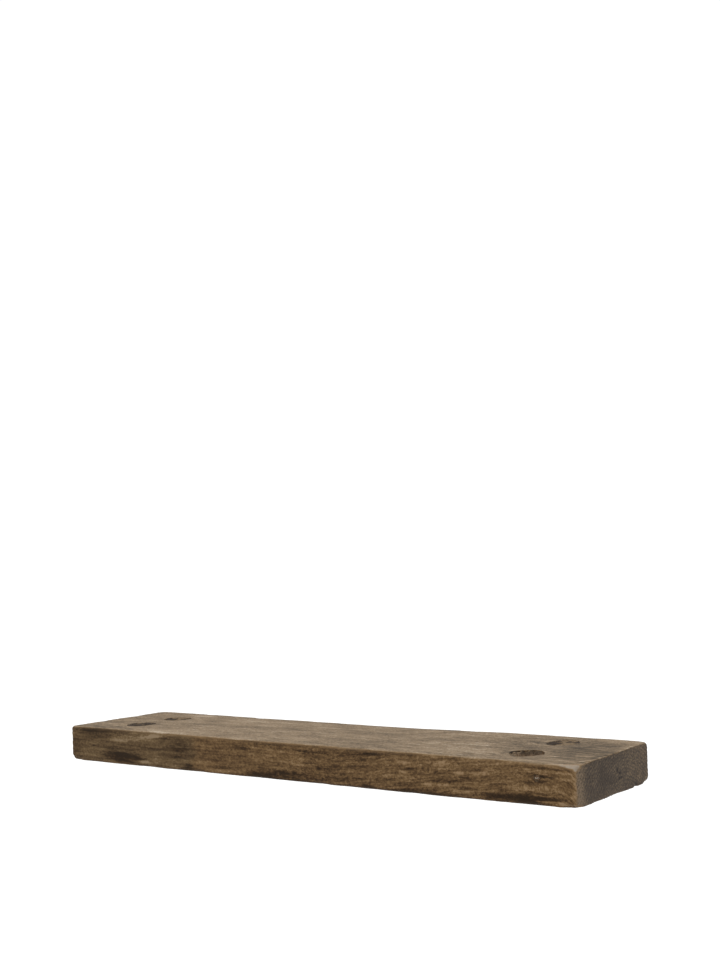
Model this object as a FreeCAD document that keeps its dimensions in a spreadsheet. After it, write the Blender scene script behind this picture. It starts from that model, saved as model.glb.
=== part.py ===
import FreeCAD, Part
import os
import re

import Sketcher

# Floating wall shelf: a solid plank that hangs on two steel rods hidden inside it.
#
# Frame, in millimetres: X runs along the plank, Y out of the room into the wall, Z up.
# The origin is the middle of the plank's back face, so the wall is the plane Y = 0,
# the plank lies from Y = -140 to Y = 0, and the wall fixings reach past Y = 0.

# ---------------------------------------------------------------- driving dimensions
DIMENSIONS = {
    "plank": {
        "board_length": 600,
        "board_depth": 140,
        "board_thickness": 36,
        "back_left_round": 12,
        "front_left_round": 3,
        "right_round": 3,
        "arris_round": 2,
    },
    "knots, placed from the plank's middle and its front edge": {
        "front_left_along": -235.5,
        "front_left_inset": 41,
        "front_left_radius": 14,
        "front_right_along": 233,
        "front_right_inset": 38.5,
        "front_right_radius": 15.5,
        "back_left_along": -233.5,
        "back_left_inset": 94,
        "back_left_radius": 14.5,
        "back_right_along": 234.5,
        "back_right_inset": 103,
        "back_right_radius": 14.5,
        "knot_taper": 0.64,
        "knot_recess": 0.8,
        "knot_loss_depth": 4.5,
        "knot_loss_shift": 3,
        "knot_loss_radius": 12.5,
    },
    "old nail, snapped off in the front edge": {
        "nail_along": 263.2,
        "nail_height": 5.5,
        "nail_recess": 0.6,
        "nail_head_radius": 2.4,
        "nail_head_depth": 1.2,
        "nail_shank_radius": 1.6,
        "nail_length": 28,
        "nail_point": 4,
    },
    "wall plates": {
        "plate_spacing": 400,
        "plate_width": 76,
        "plate_height": 22,
        "plate_thickness": 4,
        "plate_corner": 4,
        "screw_spacing": 54,
        "screw_hole_radius": 2.75,
        "countersink": 2.45,
    },
    "support rods and their welds": {
        "rod_radius": 6,
        "rod_reach": 100,
        "rod_chamfer": 1.5,
        "spigot_radius": 4,
        "weld_leg": 3,
        "weld_crown_out": 0.6,
        "weld_crown_along": 0.65,
    },
    "hollows in the plank's back": {
        "recess_width": 80,
        "recess_height": 25,
        "recess_depth": 4.5,
        "recess_corner": 5,
        "bore_radius": 6.1,
        "bore_depth": 114,
        "weld_relief": 4.6,
    },
    "wall screws": {
        "head_radius": 5,
        "head_sink": 0.05,
        "neck_radius": 2.3,
        "shank_radius": 2.5,
        "shank_length": 9,
        "core_radius": 1.6,
        "crest_radius": 2.3,
        "thread_pitch": 3,
        "thread_foot": 0.2,
        "point_length": 5,
        "drive_width": 5,
        "drive_slot": 1.1,
        "drive_depth": 1.8,
    },
    "wall plugs, set below the plaster": {
        "plaster_depth": 10,
        "plug_length": 40,
        "plug_radius": 4,
        "plug_waist_radius": 3.4,
        "plug_bore_radius": 2.45,
        "plug_collar": 5,
        "plug_rib_pitch": 4,
        "plug_rib_root": 0.2,
        "plug_rib_radius": 3.8,
        "plug_nose": 5,
        "plug_nose_radius": 3,
        "slit_width": 0.9,
        "slit_start": 10,
        "slit_length": 26,
    },
}
THREAD_TURNS = 13
PLUG_RIBS = 7
KNOTS = ("front_left", "front_right", "back_left", "back_right")
SIDES = {"left": -1, "right": 1}
PLACES = {"outer": 1, "inner": -1}

doc = FreeCAD.newDocument("floating_wall_shelf")
sheet = doc.addObject("Spreadsheet::Sheet", "Dimensions")
ALIASES = [alias for group in DIMENSIONS.values() for alias in group]
ALIAS_WORD = re.compile(r"\b(" + "|".join(ALIASES) + r")\b")


def fill_sheet():
    """One row for each dimension: its name, its value and, in the cell's alias, the same name."""
    row = 1
    for title, group in DIMENSIONS.items():
        sheet.set(f"A{row}", title)
        row += 1
        for alias, value in group.items():
            sheet.set(f"A{row}", alias)
            sheet.set(f"B{row}", str(value))
            sheet.setAlias(f"B{row}", alias)
            row += 1
    doc.recompute()


# ---------------------------------------------------------------- helpers
def formula(text):
    """A formula in the sheet's aliases, as the expression engine reads it."""
    return ALIAS_WORD.sub(r"Dimensions.\1", str(text))


def value_of(text):
    """What a formula comes to now."""
    return float(sheet.evalExpression(formula(text)))


def bind(item, setting, text):
    item.setExpression(setting, formula(text))


def place(item, along="0", out="0", up="0", turn=None):
    """Bind an object's position, after an optional fixed rotation."""
    if turn:
        item.Placement = FreeCAD.Placement(FreeCAD.Vector(), turn)
    for axis, text in zip("xyz", (along, out, up)):
        bind(item, f"Placement.Base.{axis}", text)


def new_body(label):
    body = doc.addObject("PartDesign::Body", label)
    body.Label = label
    return body


def new_sketch(body, label, role):
    """A sketch on one of its own body's origin planes."""
    sketch = body.newObject("Sketcher::SketchObject", label)
    plane = [item for item in body.Origin.OriginFeatures if item.Role == role][0]
    sketch.AttachmentSupport = [(plane, "")]
    sketch.MapMode = "FlatFace"
    return sketch


def pin(sketch, line, end, across, along):
    """Hold one end of a line at a place that two formulas give."""
    for kind, text in (("DistanceX", across), ("DistanceY", along)):
        constraint = Sketcher.Constraint(kind, -1, 1, line, end, value_of(text))
        index = sketch.addConstraint(constraint)
        bind(sketch, f"Constraints[{index}]", text)


def draw_outline(sketch, corners):
    """A closed outline of straight lines through corners given as pairs of formulas."""
    points = [FreeCAD.Vector(value_of(x), value_of(y), 0) for x, y in corners]
    first = sketch.GeometryCount
    count = len(points)
    for index, point in enumerate(points):
        sketch.addGeometry(Part.LineSegment(point, points[(index + 1) % count]), False)
    for index, (x, y) in enumerate(corners):
        line = first + index
        joined = first + (index + 1) % count
        sketch.addConstraint(Sketcher.Constraint("Coincident", line, 2, joined, 1))
        pin(sketch, line, 1, x, y)


def draw_rectangle(sketch, left, right, low, high):
    draw_outline(sketch, [(left, low), (right, low), (right, high), (left, high)])


def draw_circle(sketch, across, along, radius):
    centre = FreeCAD.Vector(value_of(across), value_of(along), 0)
    normal = FreeCAD.Vector(0, 0, 1)
    circle = sketch.addGeometry(Part.Circle(centre, normal, value_of(radius)), False)
    pin(sketch, circle, 3, across, along)
    index = sketch.addConstraint(Sketcher.Constraint("Radius", circle, value_of(radius)))
    bind(sketch, f"Constraints[{index}]", radius)


def pad(body, sketch, length, both_ways=False):
    feature = body.newObject("PartDesign::Pad", sketch.Name + "_pad")
    feature.Profile = sketch
    bind(feature, "Length", length)
    if both_ways:
        feature.SideType = "Symmetric"
    doc.recompute()
    return feature


def spin(body, sketch):
    """A full turn of a profile round the sketch's upright axis."""
    feature = body.newObject("PartDesign::Revolution", sketch.Name + "_turned")
    feature.Profile = sketch
    feature.ReferenceAxis = (sketch, ["V_Axis"])
    feature.Angle = 360
    doc.recompute()
    return feature


def checked_cut(body, make):
    """Make a feature that has to take material away from its body."""
    before = body.Shape.Volume
    feature = make()
    doc.recompute()
    if not body.Shape.Volume < before - 1e-3:
        raise RuntimeError(f"{feature.Name} took nothing away from {body.Name}")
    return feature


def pocket(body, sketch, length):
    """Cut a sketch of the XZ plane into the material on its -Y side."""

    def make():
        feature = body.newObject("PartDesign::Pocket", sketch.Name + "_cut")
        feature.Profile = sketch
        feature.Reversed = True
        bind(feature, "Length", length)
        return feature

    return checked_cut(body, make)


def edges_of(body, test):
    return [f"Edge{n}" for n, edge in enumerate(body.Shape.Edges, 1) if test(edge)]


def middle_of(edge):
    return edge.valueAt((edge.FirstParameter + edge.LastParameter) / 2)


def is_upright(edge):
    """A straight edge that runs along Z."""
    if not isinstance(edge.Curve, Part.Line):
        return False
    return abs(edge.Curve.Direction.z) > 0.999


def dress(body, kind, label, test, size):
    """Round or chamfer the edges that a test picks."""
    base = body.Tip
    names = edges_of(body, test)
    if not names:
        raise RuntimeError(f"{label} found no edges on {body.Name}")

    def make():
        feature = body.newObject(f"PartDesign::{kind}", label)
        feature.Base = (base, names)
        bind(feature, "Radius" if kind == "Fillet" else "Size", size)
        return feature

    return checked_cut(body, make)


def along_y():
    """Turns a solid made along Z so that it runs along +Y, into the wall."""
    return FreeCAD.Rotation(FreeCAD.Vector(1, 0, 0), -90)


# ---------------------------------------------------------------- plank
def knot_cone(body, kind, label, knot, overrun):
    """A knot's cone, wider at the top, past the plank's faces by a formula's amount."""
    radius = f"{knot}_radius"
    slope = f"({radius} * (1 - knot_taper) / board_thickness)"

    def make():
        cone = body.newObject(f"PartDesign::{kind}", label)
        bind(cone, "Radius1", f"{radius} * knot_taper - {slope} * ({overrun})")
        bind(cone, "Radius2", f"{radius} + {slope} * ({overrun})")
        bind(cone, "Height", f"board_thickness + 2 * ({overrun})")
        place(
            cone,
            f"{knot}_along",
            f"{knot}_inset - board_depth",
            f"-board_thickness / 2 - ({overrun})",
        )
        return cone

    return make


def round_outline(body):
    """The worn corners and arrises of the plank."""
    half_length = value_of("board_length / 2")
    depth = value_of("board_depth")

    def corner(side, at_front):
        def test(edge):
            if not is_upright(edge):
                return False
            middle = middle_of(edge)
            right_end = abs(middle.x - side * half_length) < 1e-6
            return right_end and (abs(middle.y + depth) < 1e-6) == at_front

        return test

    dress(body, "Fillet", "back_left_corner", corner(-1, False), "back_left_round")
    dress(body, "Fillet", "front_left_corner", corner(-1, True), "front_left_round")
    dress(body, "Fillet", "front_right_corner", corner(1, True), "right_round")
    dress(body, "Fillet", "back_right_corner", corner(1, False), "right_round")
    dress(body, "Fillet", "arrises", lambda edge: not is_upright(edge), "arris_round")


def hollow_back(body):
    """A recess for each wall plate, with a rod's bore and room for its weld."""
    recesses = new_sketch(body, "plate_recesses", "XZ_Plane")
    bores = new_sketch(body, "rod_bores", "XZ_Plane")
    for side in SIDES.values():
        centre = f"{side} * plate_spacing / 2"
        draw_rectangle(
            recesses,
            f"{centre} - recess_width / 2",
            f"{centre} + recess_width / 2",
            "-recess_height / 2",
            "recess_height / 2",
        )
        draw_circle(bores, centre, "0", "bore_radius")
    pocket(body, recesses, "recess_depth")

    def at_recess_corner(edge):
        if not isinstance(edge.Curve, Part.Line) or abs(edge.Curve.Direction.y) < 0.999:
            return False
        middle = middle_of(edge)
        inside = -value_of("recess_depth") < middle.y < 0
        return inside and abs(abs(middle.z) - value_of("recess_height / 2")) < 1e-6

    before = body.Shape.Volume
    base = body.Tip
    names = edges_of(body, at_recess_corner)
    rounds = body.newObject("PartDesign::Fillet", "recess_corners")
    rounds.Base = (base, names)
    bind(rounds, "Radius", "recess_corner")
    doc.recompute()
    if not body.Shape.Volume > before:
        raise RuntimeError("the recess corners were not rounded")
    pocket(body, bores, "bore_depth")

    def at_bore_mouth(edge):
        if not isinstance(edge.Curve, Part.Circle):
            return False
        same_radius = abs(edge.Curve.Radius - value_of("bore_radius")) < 1e-6
        return same_radius and abs(edge.Curve.Center.y + value_of("recess_depth")) < 1e-6

    dress(body, "Chamfer", "weld_reliefs", at_bore_mouth, "weld_relief")


def nail_cylinder(body, kind, label, radius, start, length):
    """A round length of the nail or of its hole, from a depth behind the front edge."""
    cylinder = body.newObject(f"PartDesign::{kind}", label)
    bind(cylinder, "Radius", radius)
    bind(cylinder, "Height", length)
    place(cylinder, "nail_along", f"{start} - board_depth", "nail_height", along_y())
    return cylinder


def make_board():
    board = new_body("shelf_board")
    outline = new_sketch(board, "board_outline", "XY_Plane")
    half = "board_length / 2"
    draw_rectangle(outline, f"-{half}", half, "-board_depth", "0")
    pad(board, outline, "board_thickness", both_ways=True)
    round_outline(board)
    hollow_back(board)
    for knot in KNOTS:
        checked_cut(board, knot_cone(board, "SubtractiveCone", f"{knot}_socket", knot, "1"))

    def head_seat():
        size = ("nail_head_radius", "0", "nail_recess + nail_head_depth")
        return nail_cylinder(board, "SubtractiveCylinder", "nail_head_seat", *size)

    def shank_hole():
        size = ("nail_shank_radius", "0", "nail_length")
        return nail_cylinder(board, "SubtractiveCylinder", "nail_shank_hole", *size)

    checked_cut(board, head_seat)
    checked_cut(board, shank_hole)


def make_knot(knot):
    """A dead knot: it fills its socket but stops just short of both faces."""
    body = new_body(f"knot_{knot}")
    knot_cone(body, "AdditiveCone", f"{knot}_cone", knot, "-knot_recess")()
    doc.recompute()
    if knot != "front_right":
        return

    def make():
        loss = body.newObject("PartDesign::SubtractiveCylinder", "broken_out_part")
        bind(loss, "Radius", "knot_loss_radius")
        bind(loss, "Height", "knot_loss_depth")
        place(
            loss,
            "front_right_along + knot_loss_shift",
            "front_right_inset - board_depth",
            "board_thickness / 2 - knot_loss_depth",
        )
        return loss

    checked_cut(body, make)


def make_nail():
    nail = new_body("old_nail")
    head_end = "nail_recess + nail_head_depth"
    shank = f"nail_length - nail_point - ({head_end})"
    size = ("nail_head_radius", "nail_recess", "nail_head_depth")
    nail_cylinder(nail, "AdditiveCylinder", "nail_head", *size)
    size = ("nail_shank_radius", head_end, shank)
    nail_cylinder(nail, "AdditiveCylinder", "nail_shank", *size)
    point = nail.newObject("PartDesign::AdditiveCone", "nail_tip")
    bind(point, "Radius1", "nail_shank_radius")
    point.Radius2 = 0
    bind(point, "Height", "nail_point")
    start = "nail_length - nail_point - board_depth"
    place(point, "nail_along", start, "nail_height", along_y())
    doc.recompute()


# ---------------------------------------------------------------- hidden brackets
def make_plate(name, side):
    """A rounded wall plate with a hole for the rod's spigot and two countersunk ones."""
    plate = new_body(f"wall_plate_{name}")
    face = new_sketch(plate, f"{name}_plate_face", "XZ_Plane")
    draw_rectangle(
        face, "-plate_width / 2", "plate_width / 2", "-plate_height / 2", "plate_height / 2"
    )
    pad(plate, face, "plate_thickness")

    def at_corner(edge):
        return isinstance(edge.Curve, Part.Line) and abs(edge.Curve.Direction.y) > 0.999

    dress(plate, "Fillet", f"{name}_plate_corners", at_corner, "plate_corner")
    holes = new_sketch(plate, f"{name}_plate_holes", "XZ_Plane")
    draw_circle(holes, "0", "0", "spigot_radius")
    for way in PLACES.values():
        draw_circle(holes, f"{way} * screw_spacing / 2", "0", "screw_hole_radius")
    pocket(plate, holes, "plate_thickness")

    def at_screw_hole(edge):
        if not isinstance(edge.Curve, Part.Circle):
            return False
        same_radius = abs(edge.Curve.Radius - value_of("screw_hole_radius")) < 1e-6
        return same_radius and abs(edge.Curve.Center.y + value_of("plate_thickness")) < 1e-6

    dress(plate, "Chamfer", f"{name}_countersinks", at_screw_hole, "countersink")
    place(plate, f"{side} * plate_spacing / 2")


def make_rod(name, side):
    """A round bar whose spigot goes through the plate and whose front end is chamfered."""
    rod = new_body(f"support_rod_{name}")
    profile = new_sketch(rod, f"{name}_rod_profile", "XY_Plane")
    tip = "-plate_thickness - rod_reach"
    draw_outline(
        profile,
        [
            ("0", "0"),
            ("0", tip),
            ("rod_radius - rod_chamfer", tip),
            ("rod_radius", f"{tip} + rod_chamfer"),
            ("rod_radius", "-plate_thickness"),
            ("spigot_radius", "-plate_thickness"),
            ("spigot_radius", "0"),
        ],
    )
    spin(rod, profile)
    place(rod, f"{side} * plate_spacing / 2")


def make_weld(name, side):
    """The ring of weld metal in the corner between the rod and its plate."""
    weld = new_body(f"weld_{name}")
    profile = new_sketch(weld, f"{name}_weld_profile", "XY_Plane")
    draw_outline(
        profile,
        [
            ("rod_radius", "-plate_thickness"),
            ("rod_radius", "-plate_thickness - weld_leg"),
            (
                "rod_radius + weld_leg * weld_crown_out",
                "-plate_thickness - weld_leg * weld_crown_along",
            ),
            ("rod_radius + weld_leg", "-plate_thickness"),
        ],
    )
    spin(weld, profile)
    place(weld, f"{side} * plate_spacing / 2")


# ---------------------------------------------------------------- wall fixings
def screw_profile():
    """Half of a countersunk wood screw, from its flat head to its point, on the axis Y."""
    top = "-plate_thickness + head_sink"
    corners = [
        ("0", top),
        ("head_radius", top),
        ("neck_radius", f"{top} + head_radius - neck_radius"),
        ("neck_radius", "0"),
        ("shank_radius", "0"),
        ("shank_radius", "shank_length"),
        ("core_radius", "shank_length + thread_pitch / 2"),
    ]
    for turn in range(THREAD_TURNS):
        start = f"shank_length + thread_pitch * ({turn} + 0.5)"
        corners.append(("core_radius", f"{start} + thread_pitch * (0.5 - thread_foot)"))
        corners.append(("crest_radius", f"{start} + thread_pitch * 0.5"))
        corners.append(("core_radius", f"{start} + thread_pitch * (0.5 + thread_foot)"))
    end = f"shank_length + thread_pitch * ({THREAD_TURNS} + 0.5)"
    corners.append(("core_radius", end))
    corners.append(("0", f"{end} + point_length"))
    return corners


def make_screw(name, side, spot, way):
    screw = new_body(f"wall_screw_{name}_{spot}")
    profile = new_sketch(screw, f"{name}_{spot}_screw_profile", "XY_Plane")
    draw_outline(profile, screw_profile())
    spin(screw, profile)
    reach = "drive_width / 2"
    half = "drive_slot / 2"
    for label, across, up in (("level", reach, half), ("upright", half, reach)):
        cross = new_sketch(screw, f"{name}_{spot}_{label}_slot", "XZ_Plane")
        draw_rectangle(cross, f"-{across}", across, f"-{up}", up)
        cut_slot(screw, cross)
    centre = f"{side} * (plate_spacing / 2 + {way} * screw_spacing / 2)"
    place(screw, centre)


def cut_slot(screw, sketch):
    """Cut one arm of the cross drive, from the head's flat top inwards."""
    bind(sketch, "AttachmentOffset.Base.z", "plate_thickness - head_sink")

    def make():
        feature = screw.newObject("PartDesign::Pocket", sketch.Name + "_cut")
        feature.Profile = sketch
        bind(feature, "Length", "drive_depth")
        return feature

    checked_cut(screw, make)


def plug_profile():
    """Half of a nylon plug: plain collar, saw-tooth ribs and a tapered nose."""
    start = "plaster_depth"
    ribs = f"{start} + plug_collar"
    end = f"{start} + plug_length"
    corners = [("plug_bore_radius", start), ("plug_radius", start), ("plug_radius", ribs)]
    for rib in range(PLUG_RIBS):
        tooth = f"{ribs} + plug_rib_pitch * {rib}"
        corners.append(("plug_waist_radius", f"{tooth} + plug_rib_pitch * plug_rib_root"))
        corners.append(("plug_rib_radius", f"{tooth} + plug_rib_pitch"))
    corners.append(("plug_waist_radius", f"{end} - plug_nose"))
    corners.append(("plug_nose_radius", end))
    corners.append(("plug_bore_radius", end))
    return corners


def make_plug(name, side, spot, way):
    plug = new_body(f"wall_plug_{name}_{spot}")
    profile = new_sketch(plug, f"{name}_{spot}_plug_profile", "XY_Plane")
    draw_outline(profile, plug_profile())
    spin(plug, profile)
    width = "slit_width"
    across = "3 * plug_radius"
    for label, wide, high in (("level", across, width), ("upright", width, across)):

        def make():
            slit = plug.newObject("PartDesign::SubtractiveBox", f"{name}_{spot}_{label}_slit")
            bind(slit, "Length", wide)
            bind(slit, "Width", "slit_length")
            bind(slit, "Height", high)
            place(slit, f"-({wide}) / 2", "plaster_depth + slit_start", f"-({high}) / 2")
            return slit

        checked_cut(plug, make)
    centre = f"{side} * (plate_spacing / 2 + {way} * screw_spacing / 2)"
    place(plug, centre)


# ---------------------------------------------------------------- assembly
def check_document():
    """Stop at any object that failed, and at any solid that is not sound."""
    doc.recompute()
    for item in doc.Objects:
        if {"Invalid", "Error"} & set(item.State):
            raise RuntimeError(f"{item.Label} is {item.State}")
    bodies = [item for item in doc.Objects if item.TypeId == "PartDesign::Body"]
    for body in bodies:
        shape = body.Shape
        if shape.isNull() or not shape.isValid() or len(shape.Solids) != 1:
            raise RuntimeError(f"{body.Label} is not one sound solid")
    return bodies


def main():
    os.makedirs("parts", exist_ok=True)
    fill_sheet()
    make_board()
    for knot in KNOTS:
        make_knot(knot)
    make_nail()
    for name, side in SIDES.items():
        make_plate(name, side)
        make_rod(name, side)
        make_weld(name, side)
        for spot, way in PLACES.items():
            make_screw(name, side, spot, way)
            make_plug(name, side, spot, way)
    for body in check_document():
        body.Shape.exportStep(f"parts/{body.Label}.step")
        box = body.Shape.BoundBox
        print(
            f"{body.Label}: {body.Shape.Volume:.1f} mm3, "
            f"X {box.XMin:.2f}..{box.XMax:.2f}  Y {box.YMin:.2f}..{box.YMax:.2f}  "
            f"Z {box.ZMin:.2f}..{box.ZMax:.2f}"
        )


main()
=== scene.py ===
"""Dresses a thick old plank shelf and the steel that holds it, round the fixed frame."""

import math
from collections import namedtuple

import bmesh
import bpy
import numpy as np
from mathutils import Matrix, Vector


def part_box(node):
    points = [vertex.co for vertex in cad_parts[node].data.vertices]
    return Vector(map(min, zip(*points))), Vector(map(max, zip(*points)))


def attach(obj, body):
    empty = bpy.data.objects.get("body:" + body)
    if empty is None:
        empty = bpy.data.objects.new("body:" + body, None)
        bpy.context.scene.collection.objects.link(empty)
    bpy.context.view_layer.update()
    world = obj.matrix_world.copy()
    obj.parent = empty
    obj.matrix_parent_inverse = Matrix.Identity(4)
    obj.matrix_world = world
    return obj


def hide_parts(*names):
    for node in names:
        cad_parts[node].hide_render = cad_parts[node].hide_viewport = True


bl_info = {
    "name": "Floating Wall Shelf",
    "version": (1, 0, 0),
    "blender": (4, 5, 0),
    "location": "3D View > Sidebar > Shelf",
    "description": "Dresses a thick old plank and its hidden wall supports",
    "category": "Object",
}

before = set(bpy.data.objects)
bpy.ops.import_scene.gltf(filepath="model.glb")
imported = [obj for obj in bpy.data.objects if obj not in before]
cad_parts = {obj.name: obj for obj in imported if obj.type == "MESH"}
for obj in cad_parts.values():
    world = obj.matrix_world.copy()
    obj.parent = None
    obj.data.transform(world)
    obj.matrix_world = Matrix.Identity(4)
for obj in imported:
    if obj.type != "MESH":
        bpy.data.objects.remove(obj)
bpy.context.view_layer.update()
MM = 0.001
TURN = 2.0 * math.pi
SIDES = ("left", "right")
SPOTS = ("outer", "inner")


def table(kind, *rows):
    """Named rows, all of one kind."""
    return [kind(*row) for row in rows]


# A soft patch on a face, in mm: where it is along the face and across it, its half sizes, and how
# much it darkens the wood (below zero, it lightens it). Each face's patches run left to right.
Patch = namedtuple("Patch", "along across length height shade")
FRONT_PATCHES = table(
    Patch,
    (-292, 0, 8, 10, 0.34), (-275, 5, 10, 3, 0.3), (-270, 12.5, 26, 3.4, 0.42),
    (-258, 15.6, 26, 1.8, 0.55), (-257, -7, 16, 5, -0.2), (-229, 7.8, 13, 2.4, -0.8),
    (-222, -10.4, 27, 4.4, 1.25), (-222, 11, 8, 1.6, -0.3), (-220, -14.8, 15, 2.2, 0.6),
    (-216, 13.2, 16, 1.4, -0.45), (-206, 9.8, 12, 2.6, -0.9), (-205, 15.2, 6, 1.2, -0.5),
    (-196, -11, 9, 2, 0.35), (-196, -16.5, 12, 1.6, 0.45), (-191, -12.9, 8, 1.4, -1.6),
    (-190, 12, 10, 2.2, -0.95), (-187, 8, 8, 2, -0.35), (-182, -4, 14, 3, -0.2),
    (-179, 13, 6, 1.4, -0.65), (-178, -11, 10, 3, -0.4), (-175, 14, 10, 1.8, -1.1),
    (-172, 1, 10, 2, 0.4), (-165, -3.4, 9, 1.6, 0.25), (-164, 12.8, 6, 1.2, 0.45),
    (-160, -8.4, 8, 1.4, 0.4), (-158, 16, 10, 1.4, -0.45), (-150, -10.5, 26, 3.4, -0.35),
    (-148, 3.4, 22, 2.6, 0.45), (-147, -15, 8, 1.6, -0.4), (-144, -3.4, 20, 2.2, 0.6),
    (-143, 1.8, 10, 1.9, 0.6), (-140, -7.4, 26, 1.6, -0.35), (-138, 9, 16, 3, 0.4),
    (-130, -12.5, 6, 3, 0.7), (-118, 10.8, 8, 1.1, -0.45), (-113, 16.6, 6, 1.2, -0.5),
    (-112, 13.4, 14, 1.2, 0.45), (-112, 4, 20, 1.8, 0.35), (-110, -9.5, 16, 4, -0.36),
    (-104, -1.4, 28, 2.4, 0.5), (-88, 8.4, 12, 1.4, 0.4), (-84, -14.6, 26, 1.7, -0.4),
    (-62, -13, 1.1, 2.6, -0.9), (-58.4, -12, 1.3, 3.2, -1.3), (-58, 9.6, 14, 1.2, 0.7),
    (-54, -2.2, 8, 1.4, 0.45), (-44, 10.6, 6, 1.4, -0.4), (-40, 2, 10, 1.6, -0.3),
    (-40, -14.8, 22, 2.8, 0.75), (-38, -13.6, 17, 2.4, 0.5), (-31, 8.4, 8, 1.8, 0.2),
    # The long dark patch at (-30, -17) along the front's lower edge is painted shade.
    (-30, -17, 32, 1.4, 0.6), (-22, -8.4, 24, 1.8, 0.6), (-18, 15.5, 34, 1.2, 0.6),
    (-18, 2.8, 14, 2.4, -0.45), (-12, 0.5, 8, 1.6, -0.35), (-12, -12.5, 15, 3.4, 0.7),
    (-11, 9, 3, 1.1, -0.5), (8, 2.5, 9, 5.4, -0.42), (15, -12.5, 18, 3.8, 0.45),
    (20, -1.6, 11, 1.4, -0.15), (22, 10.2, 9, 2.6, 0.45), (26, -4.2, 9, 1.8, 0.35),
    (30, 5.6, 12, 1.4, 0.45), (36, -13.2, 8, 1.6, 0.4), (38, -3.8, 7, 1.3, 0.45),
    (52, 10.4, 9, 1.5, -0.5), (52, -0.6, 8, 1.4, 0.4), (54, -11.6, 15, 1.8, 0.6),
    (55, 3, 10, 1.4, 0.35), (57, -14.7, 7, 1, -0.45), (60, 6.2, 8, 1.4, -0.3),
    (62, 14.2, 9, 1.4, -0.45), (70, 9.6, 8, 1.2, 0.4), (73, -3.4, 9, 2, -0.45),
    (78, 16, 10, 1, 0.4), (80, 1.5, 9, 3, 0.28), (89, -15.2, 5, 1.8, 0.85),
    (92, 13.6, 17, 1.3, 0.42), (102, 10.2, 5, 1.8, 0.45), (106.5, 11, 1.8, 3, -0.5),
    # The long dark patch at (110, -16.8) along the front's lower edge is painted shade.
    (108, -3.2, 20, 1.4, -0.38), (110, -16.8, 190, 1.4, 0.6), (116, -7.4, 12, 1.4, 0.6),
    (119, 13.5, 9, 2.4, -0.55), (122, 15.6, 7, 1, 0.4), (129, 8.8, 8, 1.6, -0.9),
    (130, 0.5, 4, 1, -0.8), (134, 4, 10, 2.6, 0.42), (138, -15, 13, 1.8, 0.6),
    (143, 15.2, 8, 1.4, 0.5), (146, -7.4, 16, 2, -0.75), (152, 15, 5, 1.2, 0.5),
    (158, -14.8, 8, 1.5, 0.45), (158, -9.4, 9, 1.6, -0.45), (161, 3.8, 7, 2.2, 0.55),
    (163, -12, 1.8, 2.2, 0.6), (168, 11, 8, 2.8, -0.85), (169, -7.5, 4, 1, -0.4),
    (187, 4, 4, 1.1, -1.2), (188, -11.6, 15, 1.6, -0.8), (191, -8.4, 7, 1.8, 0.5),
    (196, 0, 6, 1.6, 0.45), (204, 12.6, 10, 1.4, -0.35), (207, 5, 6, 1.2, -0.4),
    (213, -8.8, 10, 2.2, -0.6), (224, -13, 10, 2.4, 0.45), (239, -4.4, 9, 2, -0.6),
    (246, -6.4, 7, 1.5, -0.4), (249.5, -3.5, 6, 1.8, -0.35), (252, -12.6, 42, 4, 0.6),
    (252, -11.6, 10, 3.6, 0.3), (256.5, 1, 2.4, 4.6, 0.4), (265, 2.6, 6, 1.3, 1),
    (266, 7, 8, 1.1, 0.8), (270, 14, 10, 1.1, 0.6), (272, -2.6, 11, 2.2, -0.65),
    (275, -13.8, 8, 1.1, -0.5), (277, -11, 20, 1.2, 0.4), (278, 8.5, 5, 1.6, 0.5),
    (286, -14.4, 4, 2, -1.2), (287, 13.2, 10, 1.2, 0.35), (289, 5.8, 8, 1.2, -0.8),
    (292, 11, 6, 1, -0.45), (297, -8, 3, 1.6, -0.7),
)
TOP_PATCHES = table(
    Patch,
    (-294, -40, 8, 40, 0.22), (-280, -100, 22, 46, 0.26), (-245, -130, 26, 6, 0.45),
    (-242, -122, 12, 6, 0.4), (-238, -99, 24, 24, 0.22), (-225, -15, 20, 8, -0.85),
    (-176, -136, 16, 2.6, -1.3), (-150, -70, 50, 60, -0.16), (-50, -70, 50, 70, 0.12),
    (-44, -64, 18, 6, 0.5), (24, -41, 3, 2.4, 0.45), (177, -78, 11, 12, -0.25),
    (188, -123, 9, 2.4, 0.5), (190, -106, 17, 14, -0.3), (245, -66, 52, 64, 0.4),
    (280, -62, 24, 40, 0.5), (286, -130, 12, 2, 0.8), (296, -97, 4, 5, 0.8), (298, -118, 3, 5, 0.9),
    (298, -84, 3, 9, 0.7), (299, -52, 3, 6, 0.5),
)
END_PATCHES = table(
    Patch,
    (-135, 2, 11, 26, -0.85), (-90, 0, 36, 22, 0.2), (-64, 3.5, 1.2, 2.2, 2.6),
    (-61, -4.4, 1.5, 1, 3), (-59.5, 0.2, 1.8, 1, 2.4), (-57, -4.2, 1.3, 1, 3),
    (-40, -7, 8, 5, -0.3), (-27.5, -14, 3, 2.6, 1.2), (-24, 2, 26, 22, -0.34),
    (-22, -10, 6, 4, -0.35),
)

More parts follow.
